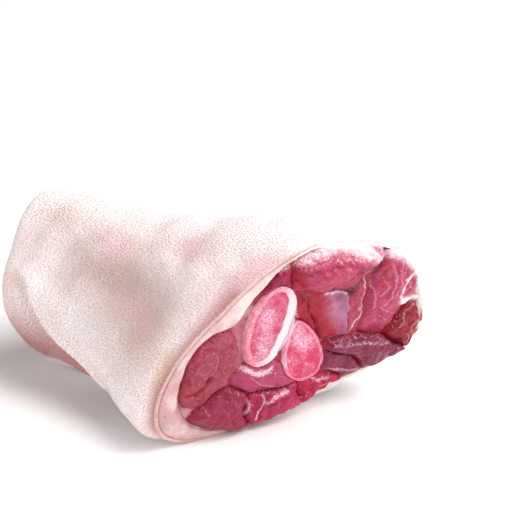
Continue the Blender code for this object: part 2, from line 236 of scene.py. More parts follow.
@dataclass(frozen=True)
class HockForm:
    """The hock's outer form and the way its fibres run from the elbow cut to the wrist cut."""

    elbow_centre: tuple[float, float, float] = (58.48, -1.84, 50.85)
    wrist_centre: tuple[float, float, float] = (-86.52, 3.66, 39.85)
    elbow_yaw: float = -35.0
    elbow_pitch: float = -6.0
    wrist_yaw: float = -19.0
    wrist_pitch: float = 20.0
    proud_yaw: float = -18.0
    wrist_roll: float = 12.0
    wrist_lean_reach: float = 25.5
    wrist_core_scale: float = 0.5
    shoulder_rise: float = 0.10
    shoulder_end: float = 0.50
    knob_place: float = 0.92
    knob_width: float = 0.13
    skin_at_elbow: ClosedCurve = ClosedCurve((
        (0, 74), (20, 74), (38, 69), (60, 60), (80, 56), (100, 50), (125, 46.5), (148, 48), (165, 55), (182, 66),
        (200, 79), (211, 82.5), (222, 76), (236, 61), (250, 51.5), (270, 45), (295, 42), (318, 51), (335, 64),
        (348, 73),
    ))
    lean_at_elbow: ClosedCurve = ClosedCurve((
        (0, 70), (20, 70), (38, 65.5), (60, 56.5), (80, 52), (93, 48), (105, 43), (117, 38.5), (133, 35.5), (149, 34),
        (157, 37), (164, 46), (172, 52), (182, 57), (194, 62), (204, 66), (213, 67), (222, 65), (236, 57.3),
        (250, 48), (270, 41.3), (295, 38.6), (318, 47.5), (335, 60.5), (348, 69.5),
    ))
    skin_at_wrist: ClosedCurve = ClosedCurve((
        (0, 41), (45, 38), (90, 40.5), (135, 40), (180, 40.5), (225, 39.5), (270, 42.5), (315, 42),
    ))
    waist: ClosedCurve = ClosedCurve((
        (0, 2), (45, 2), (70, 1), (90, -1), (135, -1), (180, -3), (210, -7), (240, -6), (265, 2), (300, 6), (330, 4),
    ))
    shoulder: ClosedCurve = ClosedCurve((
        (0, 3), (25, 3), (45, 6), (70, 9), (90, 9), (115, 5), (135, 3), (180, 2), (200, 4), (211, 5), (225, 3),
        (260, 2), (290, 9), (315, 11), (340, 6),
    ))
    knob: ClosedCurve = ClosedCurve((
        (0, 0), (45, 0), (90, 9), (135, -0.5), (180, 2), (215, 1.5), (245, 4.5), (270, 1.5), (315, 0.5),
    ))
    overhang: ClosedCurve = ClosedCurve((
        (8, 0), (100, 0), (200, 0), (224, 0), (238, 2.6), (252, 3.8), (292, 3.7), (306, 0.6), (322, 0.6), (336, 2.9),
        (352, 3.0),
    ))
    lit_middle: float = 45.0
    lit_reach: float = 53.0
    lit_fade: float = 25.0

    def section(self, t: np.ndarray | float, h: np.ndarray, w: np.ndarray) -> np.ndarray:
        """Gives the points h across and w up in the sections at stations t.

        Args:
            t: the station along the hock, 0 at the elbow cut and 1 at the wrist cut.
            h: place across the section.
            w: place up the section.

        Returns:
            The points in the row's frame, in millimetres.
        """
        t = np.asarray(t, float)[..., None]
        elbow, wrist = np.array(self.elbow_centre), np.array(self.wrist_centre)
        elbow_normal = direction(self.elbow_yaw, self.elbow_pitch)
        normal = unit(elbow_normal * (1.0 - t) + direction(self.wrist_yaw, self.wrist_pitch) * t)
        across = unit(np.cross(np.array([0.0, 0.0, 1.0]), normal))
        upward = np.cross(normal, across)
        return elbow + (wrist - elbow) * t + np.asarray(h)[..., None] * across + np.asarray(w)[..., None] * upward

    def skin_radius(self, t: np.ndarray | float, theta: np.ndarray) -> np.ndarray:
        """Gives the skin's radius at stations t, before the wrist's edge rolls in.

        Args:
            t: the station along the hock.
            theta: the angle round the section.

        Returns:
            The radius in millimetres.
        """
        taper = self.skin_at_elbow.at(theta) * (1.0 - t) + self.skin_at_wrist.at(theta) * t
        half_way = np.sin(math.pi * t)
        behind_cut = eased(t / self.shoulder_rise)
        behind_cut = behind_cut * eased((self.shoulder_end - t) / (self.shoulder_end - self.shoulder_rise))
        at_knob = np.exp(-(((t - self.knob_place) / self.knob_width) ** 2))
        swell = self.waist.at(theta) * half_way + self.shoulder.at(theta) * behind_cut
        return taper + swell + self.knob.at(theta) * at_knob

    def inside(self, t: np.ndarray, h: np.ndarray, w: np.ndarray) -> np.ndarray:
        """Gives where the fibre that shows at (h, w) on the elbow cut lies at stations t.

        Args:
            t: the station along the hock.
            h: the fibre's place across the elbow cut.
            w: the fibre's place up the elbow cut.

        Returns:
            The points in the row's frame, in millimetres.
        """
        theta, radius = np.arctan2(w, h), np.hypot(w, h)
        outer = eased(radius / self.lean_at_elbow.at(theta))
        at_wrist = outer * self.wrist_lean_reach / self.skin_at_elbow.at(theta) + (1.0 - outer) * self.wrist_core_scale
        scale = 1.0 + t * (at_wrist - 1.0)
        return self.section(t, h * scale, w * scale)

    def fibre_length(self, h: np.ndarray, w: np.ndarray) -> np.ndarray:
        """Returns how long the fibres at (h, w) on the elbow cut are, in millimetres."""
        step = 0.05
        return np.linalg.norm(self.inside(np.full_like(h, step), h, w) - self.inside(0.0 * h, h, w), axis=-1) / step

    def at_depth(self, h: np.ndarray, w: np.ndarray, proud: np.ndarray) -> np.ndarray:
        """Gives the points this far out of the elbow cut, or into it along their fibres.

        Args:
            h: the places across the cut.
            w: the places up the cut.
            proud: how far they stand out, negative where they lie within.

        Returns:
            The points in the row's frame, in millimetres.
        """
        within = self.inside(np.clip(-proud, 0.0, None) / self.fibre_length(h, w), h, w)
        return within + np.clip(proud, 0.0, None)[..., None] * direction(self.proud_yaw, 0.0)

    def lit_rim(self, theta: np.ndarray) -> np.ndarray:
        """Returns from 0 to 1 where round the cut, at the upper right, the rim is in full light: white fat with painted
        highlight.
        """
        off = angle_from(theta, self.lit_middle)
        return eased((math.radians(self.lit_reach) - np.abs(off)) / math.radians(self.lit_fade))

    def on_skin(self, t: np.ndarray, theta: np.ndarray, radius: np.ndarray) -> np.ndarray:
        """Gives the points of the sleeve at stations t, this far from the hock's centre line.

        Args:
            t: the station along the hock.
            theta: the angle round the section.
            radius: the distance from the centre line.

        Returns:
            The points in the row's frame, in millimetres, none of them below the surface the hock lies on.
        """
        points = self.section(t, radius * np.cos(theta), radius * np.sin(theta))
        points[..., 2] = np.maximum(points[..., 2], 0.0)
        return points


class Stain(Enum):
    """A patch of colour on the skin: pink and yellow are its own, grey is painted shade, lip is painted shade with some
    rim pink.
    """

    GREY = "grey"
    PINK = "pink"
    YELLOW = "yellow"
    LIP = "lip"


@dataclass(frozen=True)
class Fold:
    """A hollow, crease or patch in the skin, along a line of (station, degrees round the hock)."""

    path: Places
    width: float
    depth: float
    stain: Stain | None = None
    strength: float = 0.0

    def at(self, t: np.ndarray, degrees: np.ndarray) -> np.ndarray:
        """Returns how strongly the fold shows at places of the skin, from 0 to 1."""
        path = tuple((a * SKIN_LENGTH, b * SKIN_DEGREE) for a, b in self.path)
        return np.exp(-((distance_to_path(t * SKIN_LENGTH, degrees * SKIN_DEGREE, path) / self.width) ** 2))


class Mark(Enum):
    """What a seam shows: fascia, blood and painted shade, painted highlight, painted shade, fat and painted highlight.
    """

    FASCIA = "fascia"
    BLOOD = "blood"
    FROST = "frost"
    DEEP = "deep"
    FAT = "fat"


@dataclass(frozen=True)
class Seam:
    """A line in the face of a muscle: a crease where depth is positive, a raised cord where it is negative."""

    path: Places
    width: float
    depth: float
    mark: Mark
    strength: float = 1.0

    def at(self, h: np.ndarray, w: np.ndarray) -> np.ndarray:
        """Returns how strongly the seam shows at places of the cut, from 0 to 1."""
        return np.exp(-((distance_to_path(h, w, self.path) / self.width) ** 2))


@dataclass(frozen=True)
class Bone:
    """One bone at the elbow cut: an egg outline, its hard wall and how far its sawn end stands out."""

    name: str
    centre: tuple[float, float]
    half_length: float
    half_width: float
    turn: float
    taper: float
    rise: float
    wall: float
    band: float
    band_place: float = 268.0
    band_spread: float = 62.0

    def distance(self, h: np.ndarray, w: np.ndarray) -> np.ndarray:
        """Measures how far places of the cut lie from the bone's outline.

        Args:
            h: the places across.
            w: the places up.

        Returns:
            The distance along the ray from the bone's centre, negative inside it.
        """
        along, across = on_axes(h, w, self.centre, self.turn)
        width = self.half_width * (1.0 + self.taper * np.clip(along / self.half_length, -1.2, 1.2))
        reach = np.hypot(along / self.half_length, across / width)
        return np.hypot(along, across) * (1.0 - 1.0 / np.maximum(reach, 1e-6))

    def outline(self, phi: np.ndarray, inset: np.ndarray) -> tuple[np.ndarray, np.ndarray]:
        """Gives the bone's outline at angles round it.

        Args:
            phi: the angles, from the bone's long axis.
            inset: how far within the outline.

        Returns:
            The places across and up the elbow cut.
        """
        turn = math.radians(self.turn)
        along = (self.half_length - inset) * np.cos(phi)
        across = (self.half_width * (1.0 + self.taper * np.cos(phi)) - inset) * np.sin(phi)
        return (
            self.centre[0] + along * math.cos(turn) - across * math.sin(turn),
            self.centre[1] + along * math.sin(turn) + across * math.cos(turn),
        )

    def wall_at(self, phi: np.ndarray) -> np.ndarray:
        """Returns the wall's thickness at angles round the bone, with its band of gristle on one side."""
        off = angle_from(phi, self.band_place) / math.radians(self.band_spread)
        return self.wall + (self.band - self.wall) * np.exp(-(off**2))


class Meat(Enum):
    """How a muscle's end looks."""

    CUT = "cut across its fibres"
    SHEATHED = "still in its thin skin"


@dataclass(frozen=True)
class Muscle:
    """One muscle as it shows at the elbow cut: an oval place, the form of its swollen end, and its seams."""

    name: str
    centre: tuple[float, float]
    half_length: float
    half_width: float
    turn: float
    rise: float
    lean: tuple[float, float]
    dome: float
    drop: float
    look: Meat
    tint: str
    seams: tuple[Seam, ...] = ()
    spread: float = 7.0

    def distance(self, h: np.ndarray, w: np.ndarray) -> np.ndarray:
        """Measures how far places of the cut lie from the muscle's oval.

        Args:
            h: the places across.
            w: the places up.

        Returns:
            The distance along the ray from the muscle's centre, negative inside it.
        """
        along, across = on_axes(h, w, self.centre, self.turn)
        reach = np.hypot(along / self.half_length, across / self.half_width)
        return np.hypot(h - self.centre[0], w - self.centre[1]) * (1.0 - 1.0 / np.maximum(reach, 1e-6))


BONES = (
    Bone("radius", (-13.4, 10.0), 24.0, 12.6, 75, 0.05, 0.8, 3.0, 6.4),
    Bone("ulna", (6.0, -10.3), 19.8, 10.2, -79, 0.35, -0.4, 1.8, 1.8),
)

# The grey line of the joint between the two bones, in the gristle of the larger one
GRISTLE_LINE = ((1.2, 24.4), (0.1, 17.5), (-3.7, 2.9), (-5.4, 0.0), (-8.4, -6.0), (-9.1, -11.5), (-6.3, -17.3))

MUSCLES = (
    Muscle(
        "muscle_left", (-45, -9), 23.0, 13.1, 67, 1.0, (0.0, 0.03), 1.5, 4.0, Meat.CUT, "993A4A",
        (
            Seam(((-48.5, 5.5), (-44.6, 5.4), (-42.2, -2.7), (-43.4, -6.9), (-46.0, -12.6), (-50.5, -18.0),
                  (-54.5, -20.5), (-57.4, -15.4), (-56.0, -8.5), (-53.6, -2.5), (-48.5, 5.5)),
                 0.7, 0.5, Mark.BLOOD, 0.5),
            Seam(((-45.7, 4.9), (-43.0, 1.4), (-42.2, -2.7), (-43.4, -6.9), (-45.9, -12.4)),
                 0.45, -0.25, Mark.FASCIA, 0.5),
            Seam(((-45.4, -12.6), (-49.9, -17.2), (-53.8, -20.6), (-57.7, -19.9)), 1.0, 1.3, Mark.BLOOD, 1.0),
            Seam(((-52.6, -6.1), (-47.1, -11.5)), 0.3, -0.1, Mark.FASCIA, 0.45),
            Seam(((-51.7, -3.0), (-44.3, -2.7)), 0.3, -0.1, Mark.FASCIA, 0.45),
        ),
        2.0,
    ),
    Muscle("muscle_low_left", (-37, -36), 14.4, 12.8, -82, 2.5, (0.03, -0.05), 2.5, 4.5, Meat.CUT, "8E2641"),
    Muscle(
        "muscle_below_bone", (-17, -23), 18.5, 6.9, -20, 0.5, (0.0, 0.0), 1.8, 3.5, Meat.SHEATHED, "A2365A",
        (
            Seam(((-24.0, -17.7), (-18.7, -23.7), (-10.5, -27.1)), 0.35, -0.2, Mark.FASCIA, 0.6),
            Seam(((-30.8, -8.0), (-26.2, -12.6), (-20.0, -17.1), (-13.9, -17.6), (-10.9, -16.1)),
                 2.1, 0.6, Mark.FROST, 1.0),
        ),
    ),
    Muscle(
        "muscle_bottom", (-12, -37), 17.0, 9.8, 4, 2.0, (0.0, -0.05), 2.2, 4.5, Meat.CUT, "A5224A",
        (
            Seam(((-25.0, -29.5), (-24.4, -34.8), (-26.0, -41.3), (-26.6, -46.5)), 0.8, -0.6, Mark.FASCIA, 0.65),
            Seam(((-17.4, -30.4), (-17.8, -35.5), (-20.9, -39.3), (-21.5, -44.3)), 0.7, -0.7, Mark.FASCIA, 0.7),
            Seam(((-15.8, -30.4), (-16.2, -35.5), (-19.2, -39.8), (-19.7, -44.3)), 0.8, 0.9, Mark.BLOOD, 0.6),
            Seam(((-16.2, -35.9), (-11.3, -32.6), (-4.2, -31.7)), 1.6, -0.3, Mark.FROST, 0.9),
            Seam(((-14.0, -38.5), (-9.0, -36.0), (-3.0, -35.4)), 0.8, 0.6, Mark.DEEP, 0.5),
        ),
    ),
    Muscle(
        "muscle_bright_end", (14, -34), 9.4, 6.9, 8, 0.0, (0.0, -0.05), 1.4, 3.5, Meat.CUT, "A6183E",
        (Seam(((10.5, -28.0), (15.0, -31.5), (20.5, -31.0)), 1.4, 0.6, Mark.FROST, 0.85),),
    ),
    Muscle(
        "muscle_top_small", (-8, 39), 9.3, 5.5, 61, -1.0, (0.0, -0.10), 1.4, 3.5, Meat.SHEATHED, "93143F",
        (Seam(((-9.6, 43.8), (-5.2, 45.6)), 3.2, 0.0, Mark.FROST, 0.9),),
    ),
    Muscle(
        "muscle_top", (19, 38), 22.6, 13.8, -10, 3.5, (0.0, -0.22), 4.2, 6.0, Meat.CUT, "A93554",
        (
            Seam(((0.4, 46.4), (6.3, 48.6), (13.3, 49.7), (19.3, 49.8), (26.4, 48.0), (34.4, 44.4), (41.5, 39.0)),
                 4.6, -0.3, Mark.FROST, 0.95),
            Seam(((2.0, 43.0), (12.0, 44.6), (24.0, 43.4), (35.0, 39.6)), 2.6, 0.0, Mark.FROST, 0.5),
            # Painted highlight: the muscle's top face, white in full light
            Seam(((15.0, 52.5), (23.0, 50.5), (30.0, 48.0), (35.0, 45.0)), 3.4, 0.0, Mark.FAT, 1.0),
            Seam(((1.5, 39.0), (9.0, 40.0), (17.0, 40.5), (25.0, 39.2), (33.0, 37.6)), 1.0, 0.5, Mark.DEEP, 0.3),
            Seam(((24.0, 33.5), (30.0, 35.0), (36.0, 35.5)), 1.6, 0.5, Mark.DEEP, 0.35),
            Seam(((24.0, 26.0), (31.0, 26.5), (40.0, 33.5)), 3.2, 1.0, Mark.DEEP, 1.0),
            Seam(((-2.0, 47.0), (-1.0, 38.0), (1.5, 29.0)), 2.6, 0.8, Mark.BLOOD, 1.0),
        ),
    ),
    Muscle(
        "muscle_centre", (19, 12), 17.8, 10.8, -65, 0.5, (0.16, 0.05), 2.0, 4.5, Meat.SHEATHED, "AC688A",
        (
            Seam(((14.8, 23.4), (21.4, 23.0), (27.0, 20.4)), 1.1, -0.3, Mark.FROST, 0.9),
            Seam(((10.5, 22.0), (14.0, 8.0), (20.0, -4.0)), 6.0, 0.5, Mark.BLOOD, 1.0),
            Seam(((24.5, 19.0), (26.5, 8.0), (27.0, -2.0)), 3.4, 0.3, Mark.DEEP, 0.3),
        ),
    ),
    Muscle(
        "muscle_sliver", (9, 12), 18.0, 3.6, -67, -3.0, (0.0, 0.0), 1.0, 2.5, Meat.SHEATHED, "9A0A20",
        (Seam(((0.5, 27.0), (2.2, 14.0), (5.5, 4.0)), 1.4, -0.5, Mark.FROST, 0.6),),
    ),
    Muscle(
        "muscle_groove", (36, 14), 17.9, 7.0, 84, -1.5, (-0.10, -0.03), 1.6, 4.0, Meat.SHEATHED, "A43856",
        (
            Seam(((38.2, 30.0), (38.9, 18.6), (38.2, 5.0)), 0.8, -0.7, Mark.FASCIA, 0.65),
            Seam(((42.0, 28.5), (42.3, 14.4), (42.2, 6.3)), 0.6, -0.5, Mark.FASCIA, 0.6),
            Seam(((40.2, 29.0), (40.6, 16.0), (40.3, 7.0)), 0.9, 0.6, Mark.DEEP, 0.6),
            Seam(((38.2, 5.0), (35.0, 0.0), (32.3, -5.3)), 0.6, -0.6, Mark.FASCIA, 0.75),
            Seam(((33.4, 26.0), (33.2, 16.0), (34.0, 5.0)), 2.0, 0.7, Mark.BLOOD, 0.5),
            Seam(((30.0, 24.0), (31.5, 18.0)), 2.6, 0.6, Mark.DEEP, 0.8),
            Seam(((29.0, 23.0), (35.0, 26.5), (42.0, 30.0)), 3.0, 1.6, Mark.DEEP, 1.0),
        ),
    ),
    Muscle(
        "muscle_right", (52, 13), 23.0, 13.2, 73, 0.5, (-0.06, 0.02), 2.2, 4.5, Meat.CUT, "A83658",
        (
            Seam(((77.0, 5.2), (70.0, 6.0)), 2.6, -0.8, Mark.FAT, 1.2),
            Seam(((42.3, 28.5), (42.6, 14.4), (42.4, 6.3)), 0.5, -0.3, Mark.FASCIA, 0.5),
            Seam(((45.0, 34.0), (48.0, 30.0), (47.0, 22.0)), 2.6, 0.6, Mark.BLOOD, 0.75),
            Seam(((38.0, 27.0), (43.0, 29.5), (44.5, 34.0)), 2.0, 1.0, Mark.DEEP, 0.8),
            Seam(((70.0, 5.4), (63.0, 6.6), (58.3, 7.6)), 1.7, -0.7, Mark.FAT, 1.1),
            Seam(((58.3, 7.6), (57.4, 10.5), (57.8, 13.3), (61.2, 19.2), (67.2, 22.0)), 0.8, -0.2, Mark.FAT, 0.75),
            Seam(((42.0, 43.0), (52.5, 39.5), (61.0, 34.0), (68.0, 24.5)), 2.6, 0.0, Mark.FAT, 0.8),
            Seam(((58.5, 11.0), (62.5, 15.0), (66.5, 17.5)), 0.5, -0.1, Mark.FASCIA, 0.6),
            Seam(((63.5, 3.2), (58.1, -2.4), (53.1, -7.3)), 0.8, -0.6, Mark.FASCIA, 0.85),
            Seam(((52.5, 31.7), (54.5, 23.5), (53.8, 17.3), (50.6, 9.0), (46.2, 6.5)), 0.9, 0.3, Mark.FASCIA, 0.5),
            Seam(((45.9, 27.5), (49.6, 18.7), (45.7, 13.5)), 0.8, 0.3, Mark.FASCIA, 0.45),
            Seam(((58.3, 31.0), (57.6, 22.6), (56.8, 14.9), (53.8, 11.5)), 0.7, 0.3, Mark.FASCIA, 0.5),
            Seam(((61.5, 29.5), (60.5, 23.5), (59.0, 19.0)), 0.6, 0.2, Mark.FASCIA, 0.45),
            Seam(((46.2, 6.5), (50.5, 3.0), (56.5, -0.5), (60.5, -0.4)), 0.6, 0.3, Mark.FASCIA, 0.5),
            Seam(((46.0, 2.0), (51.0, -3.0)), 0.6, 0.4, Mark.FASCIA, 0.45),
            Seam(((50.5, 28.0), (51.8, 20.0), (49.0, 12.0)), 0.7, 0.5, Mark.BLOOD, 0.4),
            Seam(((44.0, 31.0), (47.0, 24.0), (44.5, 12.0), (46.0, 0.0)), 1.2, 0.6, Mark.BLOOD, 0.5),
            Seam(((43.0, 41.0), (52.5, 37.5), (60.0, 32.5), (65.9, 25.5)), 3.4, 0.0, Mark.FROST, 1.0),
        ),
    ),
    Muscle(
        "muscle_right_low", (64, -10), 13.8, 8.8, 69, 0.5, (-0.10, 0.0), 2.0, 4.0, Meat.CUT, "8C1424",
        (
            Seam(((77.0, 6.4), (71.0, 6.4), (66.0, 6.6)), 1.6, -0.5, Mark.FAT, 0.9),
            Seam(((61.0, -2.0), (58.0, -14.0), (64.0, -22.0)), 6.0, 0.3, Mark.DEEP, 0.4),
            Seam(((66.0, 3.0), (61.5, -2.5), (57.5, -8.5)), 0.8, -0.3, Mark.FASCIA, 0.45),
            Seam(((74.0, -5.0), (68.0, -10.0), (62.5, -18.0)), 0.4, -0.2, Mark.FASCIA, 0.6),
        ),
    ),
    Muscle(
        "muscle_roll", (42, -18), 21.5, 5.8, -17, 3.0, (0.0, 0.0), 3.0, 5.0, Meat.SHEATHED, "741A3B",
        (Seam(((21.8, -10.2), (29.6, -11.0), (44.3, -14.0), (60.5, -19.0)), 1.6, 0.0, Mark.FROST, 0.6),),
    ),
    Muscle(
        "muscle_low_small", (26, -22), 9.4, 5.0, -21, 0.5, (0.0, -0.05), 1.6, 3.5, Meat.SHEATHED, "7A1E3F",
        (Seam(((20.0, -25.6), (29.6, -28.4), (36.0, -29.4)), 1.5, -0.3, Mark.FASCIA, 0.5),),
    ),
)

# The skin's hollows and creases, and its patches of colour; the grey and lip patches are painted shade
FOLDS = (
    Fold(((0.45, 146), (0.37, 153), (0.28, 161)), 18.0, 1.6, Stain.GREY, 0.42),
    Fold(((0.56, 136), (0.37, 150), (0.24, 162)), 23.0, 0.0, Stain.GREY, 0.68),
    Fold(((0.58, 130), (0.20, 160)), 24.0, 0.0, Stain.GREY, 0.36),
    Fold(((0.60, 104), (0.20, 112)), 15.0, 0.0, Stain.GREY, 0.24),
    Fold(((0.90, 128), (0.84, 112)), 12.0, 0.0, Stain.GREY, 0.2),
    Fold(((0.84, 148), (0.76, 160), (0.66, 172)), 6.0, -0.6),
    Fold(((0.76, 112), (0.62, 126)), 1.5, -0.35),
    Fold(((0.72, 106), (0.58, 118)), 1.3, -0.3),
    Fold(((0.70, 122), (0.56, 136)), 1.4, -0.3),
    Fold(((0.83, 116), (0.79, 122)), 7.0, 0.2, Stain.GREY, 0.1),
    Fold(((0.60, 112), (0.54, 120)), 7.0, 0.0, Stain.PINK, 0.45),
    Fold(((0.82, 106), (0.45, 116)), 15.0, 0.0, Stain.GREY, 0.36),
    Fold(((0.66, 122), (0.52, 130)), 18.0, 0.0, Stain.GREY, 0.5),
    Fold(((0.10, 172), (0.30, 178)), 9.0, 0.0, Stain.YELLOW, 0.10),
    Fold(((0.31, 104), (0.25, 115)), 6.5, 0.0, Stain.PINK, 0.5),
    Fold(((0.34, 160), (0.22, 170)), 8.0, 0.0, Stain.PINK, 0.25),
    Fold(((0.0, 106), (0.02, 130), (0.0, 150)), 9.0, 0.0, Stain.PINK, 0.66),
    Fold(((0.03, 104), (0.0, 135)), 10.0, 0.0, Stain.GREY, 0.42),
    Fold(((0.0, 135), (0.0, 205)), 6.0, 0.0, Stain.LIP, 0.85),
    Fold(((0.0, 180), (0.0, 205)), 4.0, 0.0, Stain.LIP, 1.0),
    Fold(((0.0, 188), (0.0, 206), (0.0, 225)), 4.0, 0.0, Stain.PINK, 0.5),
    Fold(((0.05, 176), (0.03, 189)), 3.6, 0.0, Stain.YELLOW, 0.55),
    Fold(((0.97, 150), (0.90, 160)), 6.0, 0.0, Stain.YELLOW, 0.3),
    Fold(((0.0, 222), (0.0, 252)), 5.0, 0.0, Stain.LIP, 0.9),
)

# Where the leg's skin ends in a soft lip over the knob of the wrist: degrees round the hock and station
LIP = ((150, 0.90), (160, 0.833), (182, 0.746), (194, 0.679), (203, 0.541), (215, 0.45))


def pattern_scale(size: float) -> float:
    """Returns the texture scale that gives a pattern this many millimetres from one mark to the next."""
    return 1.0 / (size * MM)


@dataclass(frozen=True)
class Layer:
    """A colour laid over those before it: as much as a value says, or where that value goes from low to high."""

    colour: Colour
    value: Socket
    low: float | None = None
    high: float = 1.0
    most: float = 1.0


Surface = tuple[Colour, tuple[Layer, ...], Inputs]


@dataclass(frozen=True)
class Finish(ABC):
    """A material, named for what the real surface is."""

    name: str

    def make(self) -> bpy.types.Material:
        """Makes the material.

        Returns:
            The material, with its layers of colour and its shader.
        """
        material = bpy.data.materials.new(self.name)
        material.use_nodes = True
        tree = material.node_tree
        tree.nodes.clear()
        place = add_node(tree, "ShaderNodeTexCoord").outputs["Object"]
        colour, layers, inputs = self.surface(tree, place)
        for layer in layers:
            share = layer.value
            if layer.low is not None:
                stretch = {"Value": share, "From Min": layer.low, "From Max": layer.high, "To Max": layer.most}
                share = add_node(tree, "ShaderNodeMapRange", stretch, interpolation_type="SMOOTHSTEP").outputs[0]
            laid = {0: share, 6: colour, 7: layer.colour}
            colour = add_node(tree, "ShaderNodeMix", laid, data_type="RGBA").outputs[2]
        shader = add_node(tree, "ShaderNodeBsdfPrincipled", {"Base Color": colour, "Metallic": 0.0} | inputs)
        add_node(tree, "ShaderNodeOutputMaterial", {"Surface": shader.outputs[0]})
        return material

    @abstractmethod
    def surface(self, tree: bpy.types.NodeTree, place: Socket) -> Surface:
        """Adds the patterns of the finish.

        Args:
            tree: the material's node tree.
            place: the socket that gives places on the hock.

        Returns:
            The lowest colour, the layers over it, and what else goes into the shader.
        """


@dataclass(frozen=True)
class SkinFinish(Finish):
    """Scalded and shaved pork skin: pale, a little translucent and moist, dimpled by the pores of its bristles."""

    pale: str = "F8EEF0"
    peach: str = "F4E3E2"
    grey: str = "AC887A"
    pink: str = "D9A3AE"
    yellow: str = "E2B983"
    lip: str = "B27874"
    raw_edge: str = "DEB8B2"
    pore: str = "CF9D9B"
    pore_size: float = 1.2
    pore_squeeze: float = 0.66
    pore_depth: float = 0.42

    def surface(self, tree: bpy.types.NodeTree, place: Socket) -> Surface:
        """Adds the skin's clouds, its pores and its patches.

        Args:
            tree: the material's node tree.
            place: the socket that gives places on the hock.

        Returns:
            The lowest colour, the layers over it, and what else goes into the shader.
        """
        cloud, haze, fine = (
            add_node(tree, "ShaderNodeTexNoise", inputs | {"Vector": place}).outputs[0]
            for inputs in (
                {"Scale": pattern_scale(38.0), "Detail": 2.0},
                {"Scale": pattern_scale(16.0), "Detail": 4.0, "Roughness": 0.6},
                {"Scale": pattern_scale(0.7), "Detail": 2.0},
            )
        )
        # The pores are longer along the leg than round it, and a little wider apart than real ones, to show at all
        sheet = add_node(tree, "ShaderNodeUVMap", uv_map="sheet").outputs[0]
        drawn = add_node(tree, "ShaderNodeMapping", {"Vector": sheet, "Scale": (self.pore_squeeze, 1.0, 1.0)})
        pores = add_node(
            tree, "ShaderNodeTexVoronoi",
            {"Vector": drawn.outputs[0], "Scale": pattern_scale(self.pore_size), "Randomness": 0.7},
            voronoi_dimensions="2D",
        ).outputs["Distance"]
        pit, faintness, rise, gloss = (
            add_node(
                tree, "ShaderNodeMapRange", {"Value": value, "From Min": low, "From Max": high, "To Max": most},
                interpolation_type="SMOOTHSTEP",
            ).outputs[0]
            for value, low, high, most in (
                (pores, 0.45, 0.05, 1.0), (fine, 0.2, 0.7, 0.34), (pores, 0.0, 0.45, 1.0), (haze, 0.2, 0.8, 0.55),
            )
        )
        grey, pink, yellow, lip, edge = (
            add_node(tree, "ShaderNodeAttribute", attribute_name=name).outputs["Fac"]
            for name in [stain.value for stain in Stain] + ["edge"]
        )
        # The pits are painted darker: partly the pores' own tint, partly painted shade in their dimples
        in_pore = add_node(tree, "ShaderNodeMath", {0: pit, 1: faintness}, operation="MULTIPLY").outputs[0]
        height = add_node(tree, "ShaderNodeMath", {0: fine, 1: 0.3, 2: rise}, operation="MULTIPLY_ADD").outputs[0]
        relief = add_node(tree, "ShaderNodeBump", {"Strength": 1.0, "Distance": self.pore_depth * MM, "Height": height})
        layers = (
            Layer(linear(self.peach), cloud, 0.35, 0.65),
            Layer(linear(self.pink), haze, 0.5, 0.75, 0.2),
            Layer(linear(self.grey), haze, 0.5, 0.3, 0.12),
            # Painted shade: grey in the skin's hollows and where it faces away from the light
            Layer(linear(self.grey), grey),
            Layer(linear(self.pink), pink),
            Layer(linear(self.yellow), yellow),
            # Painted shade past the lip and along the lower rim; on the left rim it is partly the rim's own pink
            Layer(linear(self.lip), lip),
            Layer(linear(self.pore), in_pore),
            Layer(linear(self.raw_edge), edge),
        )
        return linear(self.pale), layers, {
            "Normal": relief.outputs[0], "Roughness": gloss, "IOR": 1.42,
            "Subsurface Weight": 0.12, "Subsurface Radius": (1.0, 0.6, 0.5), "Subsurface Scale": 1.6 * MM,
        }


@dataclass(frozen=True)
class FatFinish(Finish):
    """Raw fat under the skin: milky, soft and greasy, pinker where it meets the lean."""

    white: str = "DCCAC6"
    pink: str = "C28A90"
    cream: str = "D0B8AC"
    blood: str = "B8485A"
    line: str = "AC7068"
    # Painted highlight: the fat in full light at the upper right, and a paler patch at the upper left
    dry: str = "F8F0F0"

    def surface(self, tree: bpy.types.NodeTree, place: Socket) -> Surface:
        """Adds the fat's clouds, its clumps and its spots of blood.

        Args:
            tree: the material's node tree.
            place: the socket that gives places on the hock.

        Returns:
            The lowest colour, the layers over it, and what else goes into the shader.
        """
        # Fat has lobules of about a tenth of a millimetre; the grain shows them as clumps
        cloud, grain = (
            add_node(tree, "ShaderNodeTexNoise", inputs | {"Vector": place}).outputs[0]
            for inputs in (
                {"Scale": pattern_scale(11.0), "Detail": 3.0},
                {"Scale": pattern_scale(1.4), "Detail": 3.0},
            )
        )
        spots = add_node(
            tree, "ShaderNodeTexVoronoi", {"Vector": place, "Scale": pattern_scale(5.5)}
        ).outputs["Distance"]
        lean, line, dry = (
            add_node(tree, "ShaderNodeAttribute", attribute_name=name).outputs["Fac"]
            for name in ("lean", "line", "dry")
        )
        patches = add_node(
            tree, "ShaderNodeMapRange", {"Value": cloud, "From Min": 0.25, "From Max": 0.6, "To Max": 1.3},
            interpolation_type="SMOOTHSTEP",
        ).outputs[0]
        patchy = add_node(tree, "ShaderNodeMath", {0: patches, 1: lean}, operation="MULTIPLY").outputs[0]
        relief = add_node(tree, "ShaderNodeBump", {"Strength": 0.7, "Distance": 0.35 * MM, "Height": grain})
        layers = (
            Layer(linear(self.cream), cloud, 0.35, 0.68),
            Layer(linear(self.pink), grain, 0.45, 0.75, 0.4),
            Layer(linear(self.pink), patchy),
            Layer(linear(self.blood), spots, 0.16, 0.05, 0.6),
            Layer(linear(self.line), line),
            Layer(linear(self.dry), dry),
        )
        return linear(self.white), layers, {
            "Normal": relief.outputs[0], "Roughness": 0.32, "IOR": 1.45,
            "Subsurface Weight": 0.3, "Subsurface Radius": (1.0, 0.5, 0.4), "Subsurface Scale": 3.0 * MM,
        }


